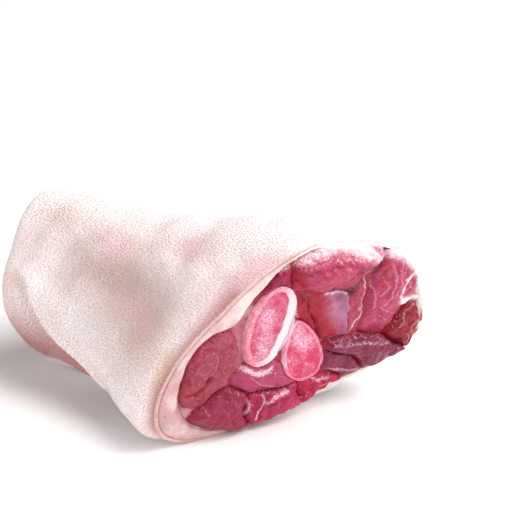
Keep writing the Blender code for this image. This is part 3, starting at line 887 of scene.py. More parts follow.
@dataclass(frozen=True)
class MeatFinish(Finish):
    """Raw lean pork: wet and translucent red, grainy where it is cut and smooth and purplish in its thin skin."""

    tint: str
    look: Meat
    fascia: str = "E8C4D0"
    # Blood red, also painted shade at the muscles' rims and along some creases
    blood: str = "A0142C"
    # Painted shade in the muscles' creases and hollows and on their lower sides
    deep: str = "5C0C1C"
    # Painted highlight: the white-pink gloss on faces that look up and on the seams marked for it
    frost: str = "EAC6D2"
    # The white of fat, also used for painted highlight and painted glints
    fat: str = "F8ECEE"
    shade: Colour = (0.58, 0.34, 0.42, 1.0)
    glow: Colour = (1.25, 1.9, 1.7, 1.0)

    def surface(self, tree: bpy.types.NodeTree, place: Socket) -> Surface:
        """Adds the muscle's bundles of fibres, its seams and its wet gloss.

        Args:
            tree: the material's node tree.
            place: the socket that gives places on the hock.

        Returns:
            The lowest colour, the layers over it, and what else goes into the shader.
        """
        vein, groove, depth = (0.45, -0.7, 0.34) if self.look is Meat.CUT else (0.15, -0.15, 0.2)
        cloud, grain, glints, wetness, flecks, clusters = (
            add_node(tree, "ShaderNodeTexNoise", inputs | {"Vector": place}).outputs[0]
            for inputs in (
                {"Scale": pattern_scale(9.0), "Detail": 4.0, "Roughness": 0.6},
                {"Scale": pattern_scale(0.9), "Detail": 3.0, "Roughness": 0.7},
                {"Scale": pattern_scale(1.3), "Detail": 3.0, "Roughness": 0.8},
                {"Scale": pattern_scale(2.3), "Detail": 1.5},
                {"Scale": pattern_scale(0.9), "Detail": 0.5},
                {"Scale": pattern_scale(6.0), "Detail": 1.0},
            )
        )
        # The bundles of fibres run along the hock; real ones are about a millimetre thick
        along_fibres = add_node(tree, "ShaderNodeMapping", {"Vector": place, "Scale": (0.3, 1.0, 1.0)}).outputs[0]
        bundles = add_node(
            tree, "ShaderNodeTexVoronoi", {"Vector": along_fibres, "Scale": pattern_scale(1.5)}
        ).outputs["Distance"]
        facing = add_node(tree, "ShaderNodeNewGeometry").outputs["Normal"]
        upward = add_node(tree, "ShaderNodeSeparateXYZ", {0: facing}).outputs["Z"]
        on_top, open_above, fleck, cluster = (
            add_node(
                tree, "ShaderNodeMapRange", {"Value": value, "From Min": low, "From Max": high, "To Max": most},
                interpolation_type="SMOOTHSTEP",
            ).outputs[0]
            for value, low, high, most in (
                (upward, 0.2, 0.9, 0.45), (upward, -0.25, 0.55, 1.0), (flecks, 0.62, 0.74, 1.0),
                (clusters, 0.48, 0.72, 0.32),
            )
        )
        marks = {
            mark: add_node(tree, "ShaderNodeAttribute", attribute_name=mark.value).outputs["Fac"] for mark in Mark
        }
        base = linear(self.tint)
        dark = tuple(channel * share for channel, share in zip(base, self.shade))
        light = tuple(min(channel * share, 1.0) for channel, share in zip(base, self.glow))
        ragged = add_node(
            tree, "ShaderNodeMath", {0: grain, 1: 0.7, 2: marks[Mark.FASCIA]}, operation="MULTIPLY_ADD"
        ).outputs[0]
        # Painted highlight: a fine broken white gloss on faces that look up, and on the seams marked for it
        wet = add_node(tree, "ShaderNodeMath", {0: on_top, 1: marks[Mark.FROST]}, operation="MAXIMUM").outputs[0]
        highlighted = add_node(tree, "ShaderNodeMath", {0: glints, 1: 2.4, 2: wet}, operation="MULTIPLY_ADD").outputs[0]
        # Painted glints: white spots in clusters where the face looks up, in the fat's colour
        painted_glints = add_node(tree, "ShaderNodeMath", {0: fleck, 1: cluster}, operation="MULTIPLY").outputs[0]
        lit = add_node(tree, "ShaderNodeMath", {0: painted_glints, 1: open_above}, operation="MULTIPLY").outputs[0]
        uneven = add_node(
            tree, "ShaderNodeMath", {0: bundles, 1: groove, 2: grain}, operation="MULTIPLY_ADD"
        ).outputs[0]
        relief = add_node(tree, "ShaderNodeBump", {"Strength": 1.0, "Distance": depth * MM, "Height": uneven})
        film = add_node(tree, "ShaderNodeBump", {"Strength": 1.0, "Distance": 1.3 * MM, "Height": wetness})
        layers = (
            Layer(dark, cloud, 0.5, 0.28, 0.7),
            Layer(light, cloud, 0.5, 0.75, 0.6),
            Layer(light, bundles, 0.35, 0.8, vein),
            Layer(light, grain, 0.55, 0.8, 0.35),
            Layer(linear(self.blood), marks[Mark.BLOOD]),
            # Painted shade
            Layer(linear(self.deep), marks[Mark.DEEP]),
            Layer(linear(self.fascia), ragged, 0.6, 1.25),
            # Fat in the seams, and a painted highlight on the top muscle
            Layer(linear(self.fat), marks[Mark.FAT]),
            Layer(linear(self.frost), highlighted, 1.55, 2.45),
            # Painted glints, in the fat's white
            Layer(linear(self.fat), lit),
        )
        return base, layers, {
            "Normal": relief.outputs[0], "Roughness": 0.35, "IOR": 1.38, "Specular IOR Level": 0.1,
            "Coat Weight": 0.7, "Coat Roughness": 0.06, "Coat IOR": 1.34, "Coat Normal": film.outputs[0],
            "Subsurface Weight": 0.18, "Subsurface Radius": (1.0, 0.28, 0.22), "Subsurface Scale": 2.5 * MM,
        }


@dataclass(frozen=True)
class BoneFinish(Finish):
    """Sawn wet bone: pinkish white, with a band of white gristle on one side and a grey line in it."""

    wall: str = "DA8596"
    pale: str = "EDBAC6"
    gristle: str = "EAD2DA"
    line: str = "A57F98"
    red: str = "D85A7E"

    def surface(self, tree: bpy.types.NodeTree, place: Socket) -> Surface:
        """Adds the bone's clouds, its red specks and its gristle.

        Args:
            tree: the material's node tree.
            place: the socket that gives places on the hock.

        Returns:
            The lowest colour, the layers over it, and what else goes into the shader.
        """
        # The canals that give sawn bone its red specks are far finer, and are drawn this coarse to show
        cloud, grain = (
            add_node(tree, "ShaderNodeTexNoise", inputs | {"Vector": place}).outputs[0]
            for inputs in (
                {"Scale": pattern_scale(3.5), "Detail": 4.0},
                {"Scale": pattern_scale(0.9), "Detail": 3.0},
            )
        )
        band, line = (
            add_node(tree, "ShaderNodeAttribute", attribute_name=name).outputs["Fac"] for name in ("band", "line")
        )
        canals = add_node(
            tree, "ShaderNodeMapRange", {"Value": grain, "From Min": 0.42, "From Max": 0.62},
            interpolation_type="SMOOTHSTEP",
        ).outputs[0]
        specks = add_node(
            tree, "ShaderNodeMath", {0: band, 1: -1.2, 2: canals}, operation="MULTIPLY_ADD", use_clamp=True
        ).outputs[0]
        relief = add_node(tree, "ShaderNodeBump", {"Strength": 0.6, "Distance": 0.3 * MM, "Height": cloud})
        layers = (
            Layer(linear(self.pale), cloud, 0.4, 0.7, 0.8),
            Layer(linear(self.red), specks),
            Layer(linear(self.gristle), band),
            Layer(linear(self.line), line),
        )
        return linear(self.wall), layers, {
            "Normal": relief.outputs[0], "Roughness": 0.3, "IOR": 1.5, "Coat Weight": 0.3, "Coat Roughness": 0.15,
            "Subsurface Weight": 0.2, "Subsurface Radius": (1.0, 0.5, 0.5), "Subsurface Scale": 1.5 * MM,
        }


@dataclass(frozen=True)
class MarrowFinish(Finish):
    """Sawn spongy bone full of marrow: fine pale struts over wet red."""

    red: str = "C02A5A"
    pink: str = "D26E92"
    strut: str = "E4B6C6"
    deep: str = "BE1C4C"
    strut_size: float = 1.0

    def surface(self, tree: bpy.types.NodeTree, place: Socket) -> Surface:
        """Adds the marrow's struts and the red between them.

        Args:
            tree: the material's node tree.
            place: the socket that gives places on the hock.

        Returns:
            The lowest colour, the layers over it, and what else goes into the shader.
        """
        # Real struts are some half a millimetre apart, and are drawn twice as coarse to show
        pores = add_node(
            tree, "ShaderNodeTexVoronoi", {"Vector": place, "Scale": pattern_scale(self.strut_size)},
            feature="SMOOTH_F1",
        ).outputs["Distance"]
        cloud, grain = (
            add_node(tree, "ShaderNodeTexNoise", inputs | {"Vector": place}).outputs[0]
            for inputs in (
                {"Scale": pattern_scale(5.0), "Detail": 3.0},
                {"Scale": pattern_scale(0.8), "Detail": 3.0},
            )
        )
        pale = add_node(tree, "ShaderNodeAttribute", attribute_name="pale").outputs["Fac"]
        whiter = add_node(tree, "ShaderNodeMath", {0: cloud, 1: pale}, operation="ADD").outputs[0]
        webs, where_pale = (
            add_node(
                tree, "ShaderNodeMapRange", {"Value": value, "From Min": low, "From Max": high},
                interpolation_type="SMOOTHSTEP",
            ).outputs[0]
            for value, low, high in ((pores, 0.25, 0.55), (whiter, 0.35, 1.2))
        )
        struts = add_node(tree, "ShaderNodeMath", {0: webs, 1: where_pale}, operation="MULTIPLY").outputs[0]
        uneven = add_node(tree, "ShaderNodeMath", {0: pores, 1: 0.8, 2: grain}, operation="MULTIPLY_ADD").outputs[0]
        relief = add_node(tree, "ShaderNodeBump", {"Strength": 1.0, "Distance": 0.4 * MM, "Height": uneven})
        layers = (
            Layer(linear(self.pink), whiter, 0.45, 0.95),
            Layer(linear(self.strut), struts),
            Layer(linear(self.deep), grain, 0.5, 0.64, 0.6),
        )
        return linear(self.red), layers, {
            "Normal": relief.outputs[0], "Roughness": 0.36, "IOR": 1.4, "Coat Weight": 0.2, "Coat Roughness": 0.15,
            "Subsurface Weight": 0.2, "Subsurface Radius": (1.0, 0.35, 0.35), "Subsurface Scale": 1.8 * MM,
        }


@dataclass
class Piece(ABC):
    """A finished piece: a closed mesh with its marks, its finish and the nodes that it stands for."""

    form: HockForm
    name: str
    nodes: tuple[str, ...]
    slot: str
    finish: Finish

    @abstractmethod
    def model(self) -> bpy.types.Object:
        """Models the piece and returns its object."""

    def build(self) -> bpy.types.Object:
        """Models and dresses the piece, and ties it to the frame.

        Returns:
            Its object.
        """
        piece = self.model()
        piece.name = piece.data.name = self.name
        piece.data.materials.append(self.finish.make())
        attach(piece, "root")
        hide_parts(*self.nodes)
        log.info("%s: %d faces", self.name, len(piece.data.polygons))
        return piece

    @staticmethod
    def placed(points: np.ndarray, marks: dict[str, np.ndarray]) -> bpy.types.Object:
        """Puts the primitive's points in place, with their marks, and shades it smooth.

        Args:
            points: a place in millimetres for each vertex of the active object.
            marks: attribute names, each with a value from 0 to 1 for each vertex.

        Returns:
            The active object.
        """
        piece = bpy.context.active_object
        mesh = piece.data
        mesh.vertices.foreach_set("co", (points * MM).astype(np.float32).ravel())
        for name, values in marks.items():
            layer = mesh.attributes.new(name, "FLOAT", "POINT")
            layer.data.foreach_set("value", np.clip(values, 0.0, 1.0).astype(np.float32).ravel())
        while mesh.uv_layers:
            mesh.uv_layers.remove(mesh.uv_layers[0])
        mesh.update()
        bpy.ops.object.shade_smooth()
        return piece

    @staticmethod
    def lift(lumps: tuple[Waves, ...], points: np.ndarray) -> np.ndarray:
        """Returns how far uneven relief of several sizes lifts points, in millimetres."""
        return sum(waves.at(points) for waves in lumps)

    @staticmethod
    def primitive_points() -> np.ndarray:
        """Reads the vertices of the active object.

        Returns:
            Their places, one row each.
        """
        mesh = bpy.context.active_object.data
        points = np.empty(len(mesh.vertices) * 3, np.float32)
        mesh.vertices.foreach_get("co", points)
        return points.reshape(-1, 3).astype(float)

    @staticmethod
    def ring_stretches(around: int, counts: tuple[int, ...]) -> tuple[np.ndarray, np.ndarray, np.ndarray]:
        """Adds a ring-shaped primitive, whose section runs in stretches out over the piece and back on its inside.

        Args:
            around: how many steps it has round the hock.
            counts: how many steps each stretch of its section has, from the elbow's end.

        Returns:
            For each vertex, its angle round the hock, the number of its stretch, and its place in that stretch, from
            0 to 1.
        """
        middle, along = 2.0, sum(counts)
        bpy.ops.object.select_all(action="DESELECT")
        bpy.ops.mesh.primitive_torus_add(
            major_segments=around, minor_segments=along, major_radius=middle, minor_radius=1.0
        )
        x, y, z = Piece.primitive_points().T
        section = np.arctan2(z, np.hypot(x, y) - middle)
        steps = np.rint(np.mod(0.25 - section / FULL_TURN, 1.0) * along).astype(int) % along
        starts = np.cumsum((0,) + counts)
        stretch = np.searchsorted(starts, steps, side="right") - 1
        return np.arctan2(y, x), stretch, (steps - starts[stretch]) / np.array(counts)[stretch]

    @staticmethod
    def ball_steps(around: int, along: int) -> tuple[np.ndarray, np.ndarray]:
        """Adds a ball-shaped primitive.

        Args:
            around: how many steps it has round its axis.
            along: how many rings it has from pole to pole.

        Returns:
            For each vertex, its angle round the axis, and its ring as a share, from 0 at the elbow's pole to 1 at
            the wrist's.
        """
        bpy.ops.object.select_all(action="DESELECT")
        bpy.ops.mesh.primitive_uv_sphere_add(segments=around, ring_count=along, radius=1.0)
        x, y, z = Piece.primitive_points().T
        return np.arctan2(y, x), np.arccos(np.clip(z, -1.0, 1.0)) / math.pi


@dataclass
class Skin(Piece):
    """The skin: a sheet round the hock, cut square at the elbow and rolled in at the wrist."""

    thickness: float = 2.4
    wrist_thickness: float = 1.6
    around: int = 400
    edge_steps: int = 5
    outer_steps: int = 160
    roll_steps: int = 18
    inner_steps: int = 24
    lip_height: float = 1.5
    lip_edge: float = 1.8
    lip_reach: float = 10.0
    lip_blend: float = 4.0
    lip_from: tuple[float, float] = (148.0, 162.0)
    lip_to: tuple[float, float] = (216.0, 232.0)
    under_from: tuple[float, float] = (166.0, 206.0)
    top_shade: float = 0.12
    plain_at_elbow: float = 0.08
    plain_at_wrist: float = 0.1
    plain_end: float = 1.02
    rounding: float = 0.75
    inner_rounding: float = 0.5
    edge_width: float = 0.9
    edge_strength: float = 0.7
    seam_at: float = -45.0
    lumps: tuple[Waves, ...] = (Waves(34.0, 0.55, 3), Waves(13.0, 0.16, 4))

    def inner_offset(self, t: np.ndarray, roll_start: np.ndarray) -> np.ndarray:
        """Returns how far the skin's inner face lies within its radius at stations t."""
        past = np.clip((t - roll_start) / (1.0 - roll_start), 0.0, 1.0)
        return self.thickness + past * (self.form.wrist_roll + self.wrist_thickness - self.thickness)

    def roll_start(self, theta: np.ndarray) -> tuple[np.ndarray, np.ndarray]:
        """Measures the sleeve at angles.

        Args:
            theta: angles round the hock.

        Returns:
            The station where the wrist's roll starts, and the sleeve's length in millimetres.
        """
        near = 0.05
        form, none = self.form, np.zeros_like(theta)
        side = form.on_skin(none + near, theta, form.skin_radius(near, theta))
        side = side - form.on_skin(none, theta, form.skin_at_elbow.at(theta))
        length = np.linalg.norm(side, axis=-1) / near
        return 1.0 - form.wrist_roll / length, length

    def model(self) -> bpy.types.Object:
        """Models the skin.

        Returns:
            Its object.
        """
        form, rounding = self.form, self.rounding
        counts = (self.edge_steps, self.outer_steps, self.roll_steps, self.inner_steps, self.edge_steps)
        theta, stretch, share = self.ring_stretches(self.around, counts)
        rim, _, roll, inner, back = stretches = [stretch == number for number in range(len(counts))]
        rising, turning = np.sin(share * QUARTER_TURN), 1.0 - np.cos(share * QUARTER_TURN)
        roll_start, length = self.roll_start(theta)
        edge = rounding / length
        inner_edge = self.inner_rounding * edge
        t = np.select(stretches, [
            edge * turning,
            edge + (roll_start - edge) * share,
            roll_start + (1.0 - roll_start) * rising,
            1.0 - (1.0 - inner_edge) * share,
            inner_edge * (1.0 - rising),
        ])
        offset = np.select([rim, roll, inner, back], [
            rounding * (1.0 - rising),
            form.wrist_roll * turning,
            self.inner_offset(t, roll_start),
            self.thickness - rounding * turning,
        ], 0.0)
        points = form.on_skin(t, theta, form.skin_radius(t, theta) + self.swell(t, theta) - offset)

        degrees = np.mod(np.degrees(theta), 360.0)
        raw = np.where(inner | back, 1.0, 1.0 - eased(t * length / self.edge_width)) * self.edge_strength
        # Painted highlight: in the full light at the upper right the raw edge's colour gives way to the pale skin
        marks = {"edge": raw * (1.0 - form.lit_rim(theta))}
        for stain in Stain:
            showing = [fold.strength * fold.at(t, degrees) for fold in FOLDS if fold.stain is stain]
            marks[stain.value] = np.max(showing, axis=0)
        # Painted shade: the skin past the lip takes the lip's colour, most of all on its lower side
        past, near = self.past_lip(t, degrees)
        start, end = self.under_from
        under = self.top_shade + (1.0 - self.top_shade) * eased((degrees - start) / (end - start))
        shaded = eased(past / self.lip_blend) * near * under
        marks[Stain.LIP.value] = np.maximum(marks[Stain.LIP.value], shaded)
        piece = self.placed(points, marks)
        self.lay_out(piece, t, theta)
        return piece

    def lay_out(self, piece: bpy.types.Object, t: np.ndarray, theta: np.ndarray) -> None:
        """Adds the skin's own map, in metres along the leg and round it, which the pores follow.

        Args:
            piece: the skin.
            t: the station of each vertex.
            theta: the angle of each vertex round the hock.
        """
        mesh, seam, middle = piece.data, math.radians(self.seam_at), 0.35
        corners = np.empty(len(mesh.loops), np.int32)
        mesh.loops.foreach_get("vertex_index", corners)
        angle = np.mod(theta - seam, FULL_TURN)[corners].reshape(-1, 4)
        over_seam = np.ptp(angle, axis=1) > math.pi
        angle = np.where(over_seam[:, None] & (angle < math.pi), angle + FULL_TURN, angle).ravel()
        round_it = np.linspace(0.0, FULL_TURN + 0.1, 800)
        radius = self.form.skin_radius(np.full_like(round_it, middle), round_it + seam)
        arc = np.cumsum(radius) * (round_it[1] - round_it[0])
        places = np.stack([t[corners] * SKIN_LENGTH, np.interp(angle, round_it, arc)], axis=1) * MM
        layer = mesh.uv_layers.new(name="sheet")
        layer.data.foreach_set("uv", places.astype(np.float32).ravel())

    def past_lip(self, t: np.ndarray, degrees: np.ndarray) -> tuple[np.ndarray, np.ndarray]:
        """Measures places of the skin from its lip over the knob of the wrist.

        Args:
            t: the stations along the hock.
            degrees: the angles round the hock.

        Returns:
            How far each lies past the lip in millimetres, and from 0 to 1 how much of a lip there is at its angle.
        """
        past = (t - np.interp(degrees, *zip(*LIP))) * SKIN_LENGTH
        (first, full), (still_full, last) = self.lip_from, self.lip_to
        return past, eased((degrees - first) / (full - first)) * eased((last - degrees) / (last - still_full))

    def swell(self, t: np.ndarray, theta: np.ndarray) -> np.ndarray:
        """Gives how far the skin's lumps, folds and lip lift it from its plain form.

        Args:
            t: the stations along the hock.
            theta: the angles round the hock.

        Returns:
            The lift in millimetres, negative in the hollows, none at the elbow cut and almost none at the wrist's.
        """
        degrees = np.mod(np.degrees(theta), 360.0)
        plain = self.form.on_skin(t, theta, self.form.skin_radius(t, theta))
        lift = self.lift(self.lumps, plain) - sum(fold.depth * fold.at(t, degrees) for fold in FOLDS)
        past, near = self.past_lip(t, degrees)
        step = np.tanh(past / self.lip_edge) * np.exp(-((past / self.lip_reach) ** 2))
        lift = lift - self.lip_height * step * near
        return lift * eased(t / self.plain_at_elbow) * eased((self.plain_end - t) / self.plain_at_wrist)


@dataclass
class Fat(Piece):
    """The fat between the skin and the lean meat."""

    skin: Skin
    around: int = 320
    face_steps: int = 36
    side_steps: int = 22
    end_steps: int = 4
    clearance: float = 0.06
    outer_start: float = 0.9
    inner_end: float = 2.0
    face: Places = ((0.0, -1.6), (0.2, 0.2), (0.45, 0.8), (0.75, 0.7), (0.95, 0.1), (1.0, -0.25))
    lit_rise: float = 0.4
    raw_reach: float = 0.35
    raw_strength: float = 0.6
    raw_at_left: float = 0.5
    line_from: float = 0.93
    line_strength: float = 0.45
    line_at_left: float = 0.35
    overhang_shade: float = 0.25
    left_from: float = 0.3
    left_blend: float = 0.5
    pale_place: float = 135.0
    pale_spread: float = 26.0
    pale_strength: float = 0.3
    lumps: tuple[Waves, ...] = (Waves(9.0, 0.22, 11), Waves(3.5, 0.07, 12))

    def model(self) -> bpy.types.Object:
        """Models the fat.

        Returns:
            Its object.
        """
        form, half = self.form, self.face_steps // 2
        counts = (half, self.side_steps, self.end_steps, self.side_steps, self.face_steps - half)
        theta, stretch, share = self.ring_stretches(self.around, counts)
        roll_start, length = self.skin.roll_start(theta)
        lean, cos, sin, ones = form.lean_at_elbow.at(theta), np.cos(theta), np.sin(theta), np.ones_like(theta)
        under_skin = form.skin_at_elbow.at(theta) - self.skin.thickness - self.clearance

        out = np.select([stretch == 0, stretch == 4], [0.5 + 0.5 * share, 0.5 * share], 0.0)
        radius, lit = lean + (under_skin - lean) * out, form.lit_rim(theta)
        flat = form.at_depth(radius * cos, radius * sin, 0.0 * theta)
        proud = np.interp(out, *zip(*self.face))
        proud = proud + (self.lit_rise * (1.0 - out) - proud) * lit + self.lift(self.lumps, flat)
        on_face = form.at_depth(radius * cos, radius * sin, proud)

        edge = self.outer_start / length
        t_out = edge + (1.0 - edge) * share
        outer_radius = form.skin_radius(t_out, theta) + self.skin.swell(t_out, theta) - self.clearance
        on_outside = form.on_skin(t_out, theta, outer_radius - self.skin.inner_offset(t_out, roll_start))
        on_inside = form.inside(1.0 - (1.0 - self.inner_end / length) * share, lean * cos, lean * sin)
        end_radius = form.skin_radius(1.0, theta) - self.skin.inner_offset(ones, roll_start) - self.clearance
        outside_end = form.on_skin(ones, theta, end_radius)
        on_end = outside_end + (form.inside(ones, lean * cos, lean * sin) - outside_end) * share[:, None]
        stretches = [(stretch == number)[:, None] for number in range(len(counts))]
        points = np.select(stretches, [on_face, on_outside, on_end, on_inside, on_face])
        return self.placed(points, self.marks(theta, out, (stretch == 0) | (stretch == 4)))

    def marks(self, theta: np.ndarray, out: np.ndarray, on_cut: np.ndarray) -> dict[str, np.ndarray]:
        """Gives the fat's marks: near the lean, a raw line with painted shade, and paler fat with painted highlight.

        Args:
            theta: the angles round the hock.
            out: from 0 at the lean to 1 at the skin.
            on_cut: which vertices lie on the elbow cut.

        Returns:
            The marks by name, each from 0 to 1.
        """
        lit, left = self.form.lit_rim(theta), eased((-np.cos(theta) - self.left_from) / self.left_blend)
        near_lean = (1.0 - eased(out / self.raw_reach)) * self.raw_strength + self.raw_at_left * left
        by_skin = eased((out - self.line_from) / (1.0 - self.line_from))
        by_skin = by_skin * (self.line_strength + self.line_at_left * left)
        # Painted shade: the line darkens where the meat overhangs the fat
        under_overhang = self.form.overhang.at(theta) * self.overhang_shade
        upper_left = self.pale_strength * np.exp(-(((np.degrees(theta) - self.pale_place) / self.pale_spread) ** 2))
        # Painted highlight: in full light at the upper right the fat loses its pink and its line, and is painted white
        return {
            "lean": np.where(on_cut, near_lean * (1.0 - lit), self.raw_strength),
            "line": np.where(on_cut, np.maximum(by_skin, under_overhang), 0.0) * (1.0 - lit),
            "dry": np.where(on_cut, np.maximum(lit, upper_left), 0.0),
        }


@dataclass
class Membranes(Piece):
    """The thin tissue between the muscles: a sheet just under their edges, sunk and bloody beside the bones."""

    around: int = 180
    along: int = 80
    cap_share: float = 0.8
    edge_share: float = 0.9
    depth: float = 1.9
    thickness: float = 6.0
    clearance: float = 0.1
    bloody_groove: Places = ((2.0, 29.0), (9.0, 12.0), (16.0, -5.0))
    groove_width: float = 5.0
    groove_depth: float = 2.4
    pale_at: Patches = ((-29.5, 6.0, 5.0, 20.0), (-56.0, -33.0, 7.0, 7.0))
    lumps: tuple[Waves, ...] = (Waves(7.0, 0.3, 41), Waves(2.4, 0.12, 42))

    def model(self) -> bpy.types.Object:
        """Models the membranes.

        Returns:
            Their object.
        """
        form = self.form
        theta, ring = self.ball_steps(self.around, self.along)
        lean = form.lean_at_elbow.at(theta) - self.clearance
        closing = np.clip((ring - self.edge_share) / (1.0 - self.edge_share), 0.0, 1.0)
        share = np.clip(ring / self.cap_share, 0.0, 1.0) * (1.0 - closing)
        h, w = lean * share * np.cos(theta), lean * share * np.sin(theta)
        flat = form.at_depth(h, w, 0.0 * h)
        under = self.thickness * np.clip((ring - self.cap_share) / (self.edge_share - self.cap_share), 0.0, 1.0)
        bloody = np.exp(-((distance_to_path(h, w, self.bloody_groove) / self.groove_width) ** 2))
        proud = self.lift(self.lumps, flat) - self.depth - under - self.groove_depth * bloody
        lean_side = 1.0 - patches_at(h, w, self.pale_at)
        return self.placed(form.at_depth(h, w, proud), {"lean": lean_side, "line": bloody, "dry": 0.0 * h})


@dataclass
class MuscleEnd(Piece):
    """One muscle, from its swollen end at the elbow to its plain end at the wrist."""

    muscle: Muscle
    around: int = 132
    along: int = 92
    cap_share: float = 0.66
    side_share: float = 0.80
    end_share: float = 0.95
    overlap: float = 0.35
    fat_gap: float = 0.1
    shoulder_power: float = 12.0
    rim_cover: float = 0.6
    rim_sink: float = -0.3
    plain_from: float = 0.12
    rim_from: float = 0.94
    rim_blend: float = 0.05
    rim_shade: float = 0.6
    rim_shade_from: float = 0.86
    less_shade_at_rim: float = 0.4
    highlight_from: float = 0.8
    rim_highlight_strength: float = 0.9
    first_step: float = 0.5
    step: float = 0.1

    def reach(self, ray: np.ndarray, over_rim: float) -> np.ndarray:
        """Measures how far the muscle spreads from its centre along rays.

        Args:
            ray: unit vectors across and up, one column each.
            over_rim: the share of its overhang by which it may cross the fat.

        Returns:
            The distance to a neighbour, a bone, the fat, or its furthest spread.
        """
        muscle, form = self.muscle, self.form
        steps = np.arange(self.first_step, muscle.half_length + muscle.spread, self.step)
        h, w = np.array(muscle.centre)[:, None, None] + steps[:, None] * ray[:, None]
        own, theta = muscle.distance(h, w), np.arctan2(w, h)
        lean = form.lean_at_elbow.at(theta) + over_rim * np.maximum(form.overhang.at(theta), 0.0)
        free = (own < muscle.spread) & (np.hypot(h, w) < lean - self.fat_gap)
        for bone in BONES:
            free &= bone.distance(h, w) > -self.overlap
        for other in MUSCLES:
            if other is not muscle:
                free &= own < other.distance(h, w) + self.overlap
        blocked = np.where(free.all(axis=0), len(steps) - 1, np.argmin(free, axis=0))
        reach = steps[np.maximum(blocked - 1, 0)]
        for _ in range(2):
            reach = (np.roll(reach, 1) + 2.0 * reach + np.roll(reach, -1)) / 4.0
        return reach

    def outlines(self, theta: np.ndarray) -> tuple[np.ndarray, np.ndarray]:
        """Gives the outlines of the muscle's end and of the rest of it, as offsets from its centre.

        Args:
            theta: angles round the muscle.

        Returns:
            The two outlines' offsets, each as rows across and up the elbow cut.
        """
        muscle = self.muscle
        phi = np.linspace(0.0, FULL_TURN, self.around, endpoint=False)
        cos, sin = math.cos(math.radians(muscle.turn)), math.sin(math.radians(muscle.turn))
        along, across = muscle.half_length * np.cos(phi), muscle.half_width * np.sin(phi)
        ray = np.stack([along * cos - across * sin, along * sin + across * cos])
        ray /= np.linalg.norm(ray, axis=0)
        index = np.rint(np.mod(theta, FULL_TURN) / FULL_TURN * self.around).astype(int) % self.around
        return (ray * self.reach(ray, 1.0))[:, index], (ray * self.reach(ray, 0.0))[:, index]

    def model(self) -> bpy.types.Object:
        """Models the muscle.

        Returns:
            Its object.
        """
        muscle, form = self.muscle, self.form
        theta, ring = self.ball_steps(self.around, self.along)
        share = np.sin(np.clip(ring / self.cap_share, 0.0, 1.0) * QUARTER_TURN)
        down = np.clip((ring - self.cap_share) / (self.side_share - self.cap_share), 0.0, 1.0)
        on = np.clip((ring - self.side_share) / (self.end_share - self.side_share), 0.0, 1.0)
        closing = np.clip((ring - self.end_share) / (1.0 - self.end_share), 0.0, 1.0)
        end, rest = self.outlines(theta)
        edge = end + (rest - end) * eased(down / 0.5)
        over_rim = np.minimum(np.linalg.norm(end - rest, axis=0) / 2.0, 1.0)
        out_h, out_w = edge * share * (1.0 - closing)
        h, w = muscle.centre[0] + out_h, muscle.centre[1] + out_w

        edge_h, edge_w = muscle.centre[0] + edge[0], muscle.centre[1] + edge[1]
        around = np.arctan2(edge_w, edge_h)
        to_rim = np.hypot(edge_h, edge_w) / form.lean_at_elbow.at(around)
        joined = eased((to_rim - self.rim_from) / self.rim_blend) * form.lit_rim(around)
        proud = muscle.rise + muscle.lean[0] * out_h + muscle.lean[1] * out_w
        edge_proud = muscle.rise + muscle.lean[0] * edge[0] + muscle.lean[1] * edge[1]
        drop = muscle.drop + (edge_proud - self.rim_cover - muscle.drop) * over_rim
        drop = drop + (np.minimum(drop, edge_proud + self.rim_sink) - drop) * joined
        proud = proud + muscle.dome * (1.0 - share**2) - drop * share**self.shoulder_power
        proud = proud + self.lift(self.grain(), form.at_depth(h, w, 0.0 * h))

        marks = {mark: np.zeros_like(h) for mark in Mark}
        for seam in muscle.seams:
            shows = seam.at(h, w)
            proud = proud - seam.depth * shows
            marks[seam.mark] = np.maximum(marks[seam.mark], shows * seam.strength)
        white = np.minimum(marks[Mark.FASCIA] + marks[Mark.FAT], 1.0)
        # Painted shade: dark red at the rim where the muscle turns into the creases, less where it overhangs the fat or
        # meets it in full light
        bloody = eased((share - self.rim_shade_from) / (1.0 - self.rim_shade_from)) * (1.0 - white)
        bloody = bloody * (self.rim_shade - self.less_shade_at_rim * np.maximum(over_rim, joined))
        marks[Mark.BLOOD] = np.maximum(marks[Mark.BLOOD], bloody)
        # Painted highlight along the rim where the muscle meets the fat in full light
        rim_highlight = eased((share - self.highlight_from) / (1.0 - self.highlight_from)) * joined * self.rim_highlight_strength
        marks[Mark.FROST] = np.maximum(marks[Mark.FROST], rim_highlight)

        on_cap = form.at_depth(h, w, proud)
        deepest = np.clip(-proud, 0.0, None) / form.fibre_length(h, w)
        t = deepest + (self.plain_from - deepest) * down + (1.0 - self.plain_from) * on
        points = np.where((ring <= self.cap_share)[:, None], on_cap, form.inside(t, h, w))
        return self.placed(points, {mark.value: values for mark, values in marks.items()})

    def grain(self) -> tuple[Waves, ...]:
        """Gives the relief of the muscle's end.

        Returns:
            Its lumps, and the bundles of fibres that a cut across them leaves rough.
        """
        rough = 1.0 if self.muscle.look is Meat.CUT else 0.6
        seed = sum(ord(letter) for letter in self.muscle.name)
        return Waves(14.0, 0.5, seed), Waves(5.0, 0.36 * rough, seed + 1), Waves(2.1, 0.13 * rough, seed + 2)


